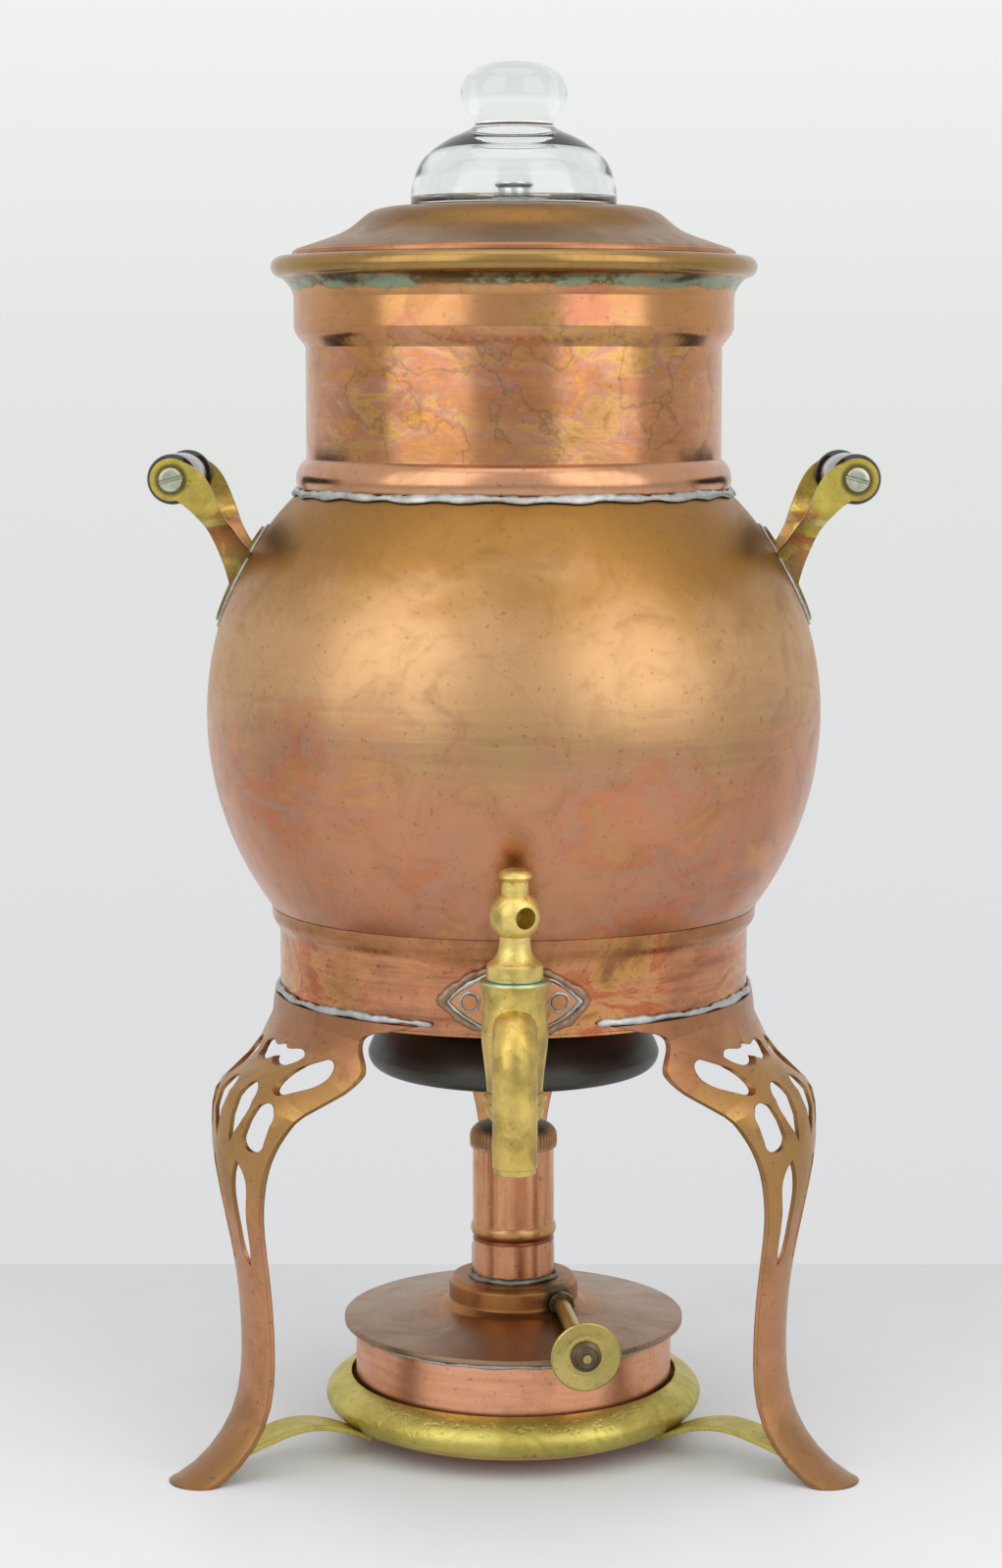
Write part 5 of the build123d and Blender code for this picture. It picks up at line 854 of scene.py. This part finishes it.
# What the camera and the glass see is the wall. Metal sees a room that is darker low down in front.
world = bpy.data.worlds.new("room")
bpy.context.scene.world = world
world.use_nodes = True
room = world.node_tree
room.nodes.clear()
direction = add(room, "TexCoord", {}, "Generated")
upward = add(room, "SeparateXYZ", {"Vector": direction}, "Z")
backward = add(room, "SeparateXYZ", {"Vector": direction}, "Y")
rays = room.nodes.new("ShaderNodeLightPath").outputs
climb = add(room, "MapRange", {"Value": upward, "From Min": -0.26, "From Max": 0.105})
wall = add(room, "ValToRGB", {"Fac": climb, "stops": [(0.0, "#DDDEE0"), (0.35, "#E0E1E3"), (0.65, "#E2E4E2"),
                                                      (1.0, "#F1F2F2")]})
front = add(room, "MapRange", {"Value": upward, "From Min": -0.05, "From Max": 0.15, "To Min": FRONT_LOW,
                               "To Max": FRONT_HIGH})
behind = add(room, "MapRange", {"Value": backward, "From Min": -0.1, "From Max": 0.6})
diffuse = (DIFFUSE, DIFFUSE, DIFFUSE, 1)
mirrored = layered(room, front, (behind, (BEHIND, BEHIND, BEHIND, 1)))
seen = add(room, "Math", {"operation": "MAXIMUM", 0: rays["Is Camera Ray"], 1: rays["Is Transmission Ray"]})
shown = layered(room, diffuse, (rays["Is Glossy Ray"], mirrored), (seen, wall))
backdrop = add(room, "Background", {"Color": shown, "Strength": 1.0})
add(room, "OutputWorld", {"Surface": backdrop})


# The camera stands where the photograph was taken: 0.9 m in front of the urn's axis and 290 mm up, looking down 7
# degrees. Its lens has the photograph's focal length in pixels, on a sensor as tall as the picture.

FOCAL_PIXELS, PICTURE_HEIGHT_PIXELS, SENSOR_MM = 3430, 1600, 36.0
CAMERA_PLACE, LOOK_DOWN_DEGREES = (-0.0034, -0.9, 0.2904), 7.11

camera = bpy.data.objects.new("camera", bpy.data.cameras.new("camera"))
camera.data.sensor_width = SENSOR_MM
camera.data.lens = SENSOR_MM * FOCAL_PIXELS / PICTURE_HEIGHT_PIXELS
camera.location = CAMERA_PLACE
camera.rotation_euler = (math.radians(90 - LOOK_DOWN_DEGREES), 0, 0)
bpy.context.scene.collection.objects.link(camera)
bpy.context.scene.camera = camera
bpy.context.scene.view_settings.view_transform = "Standard"
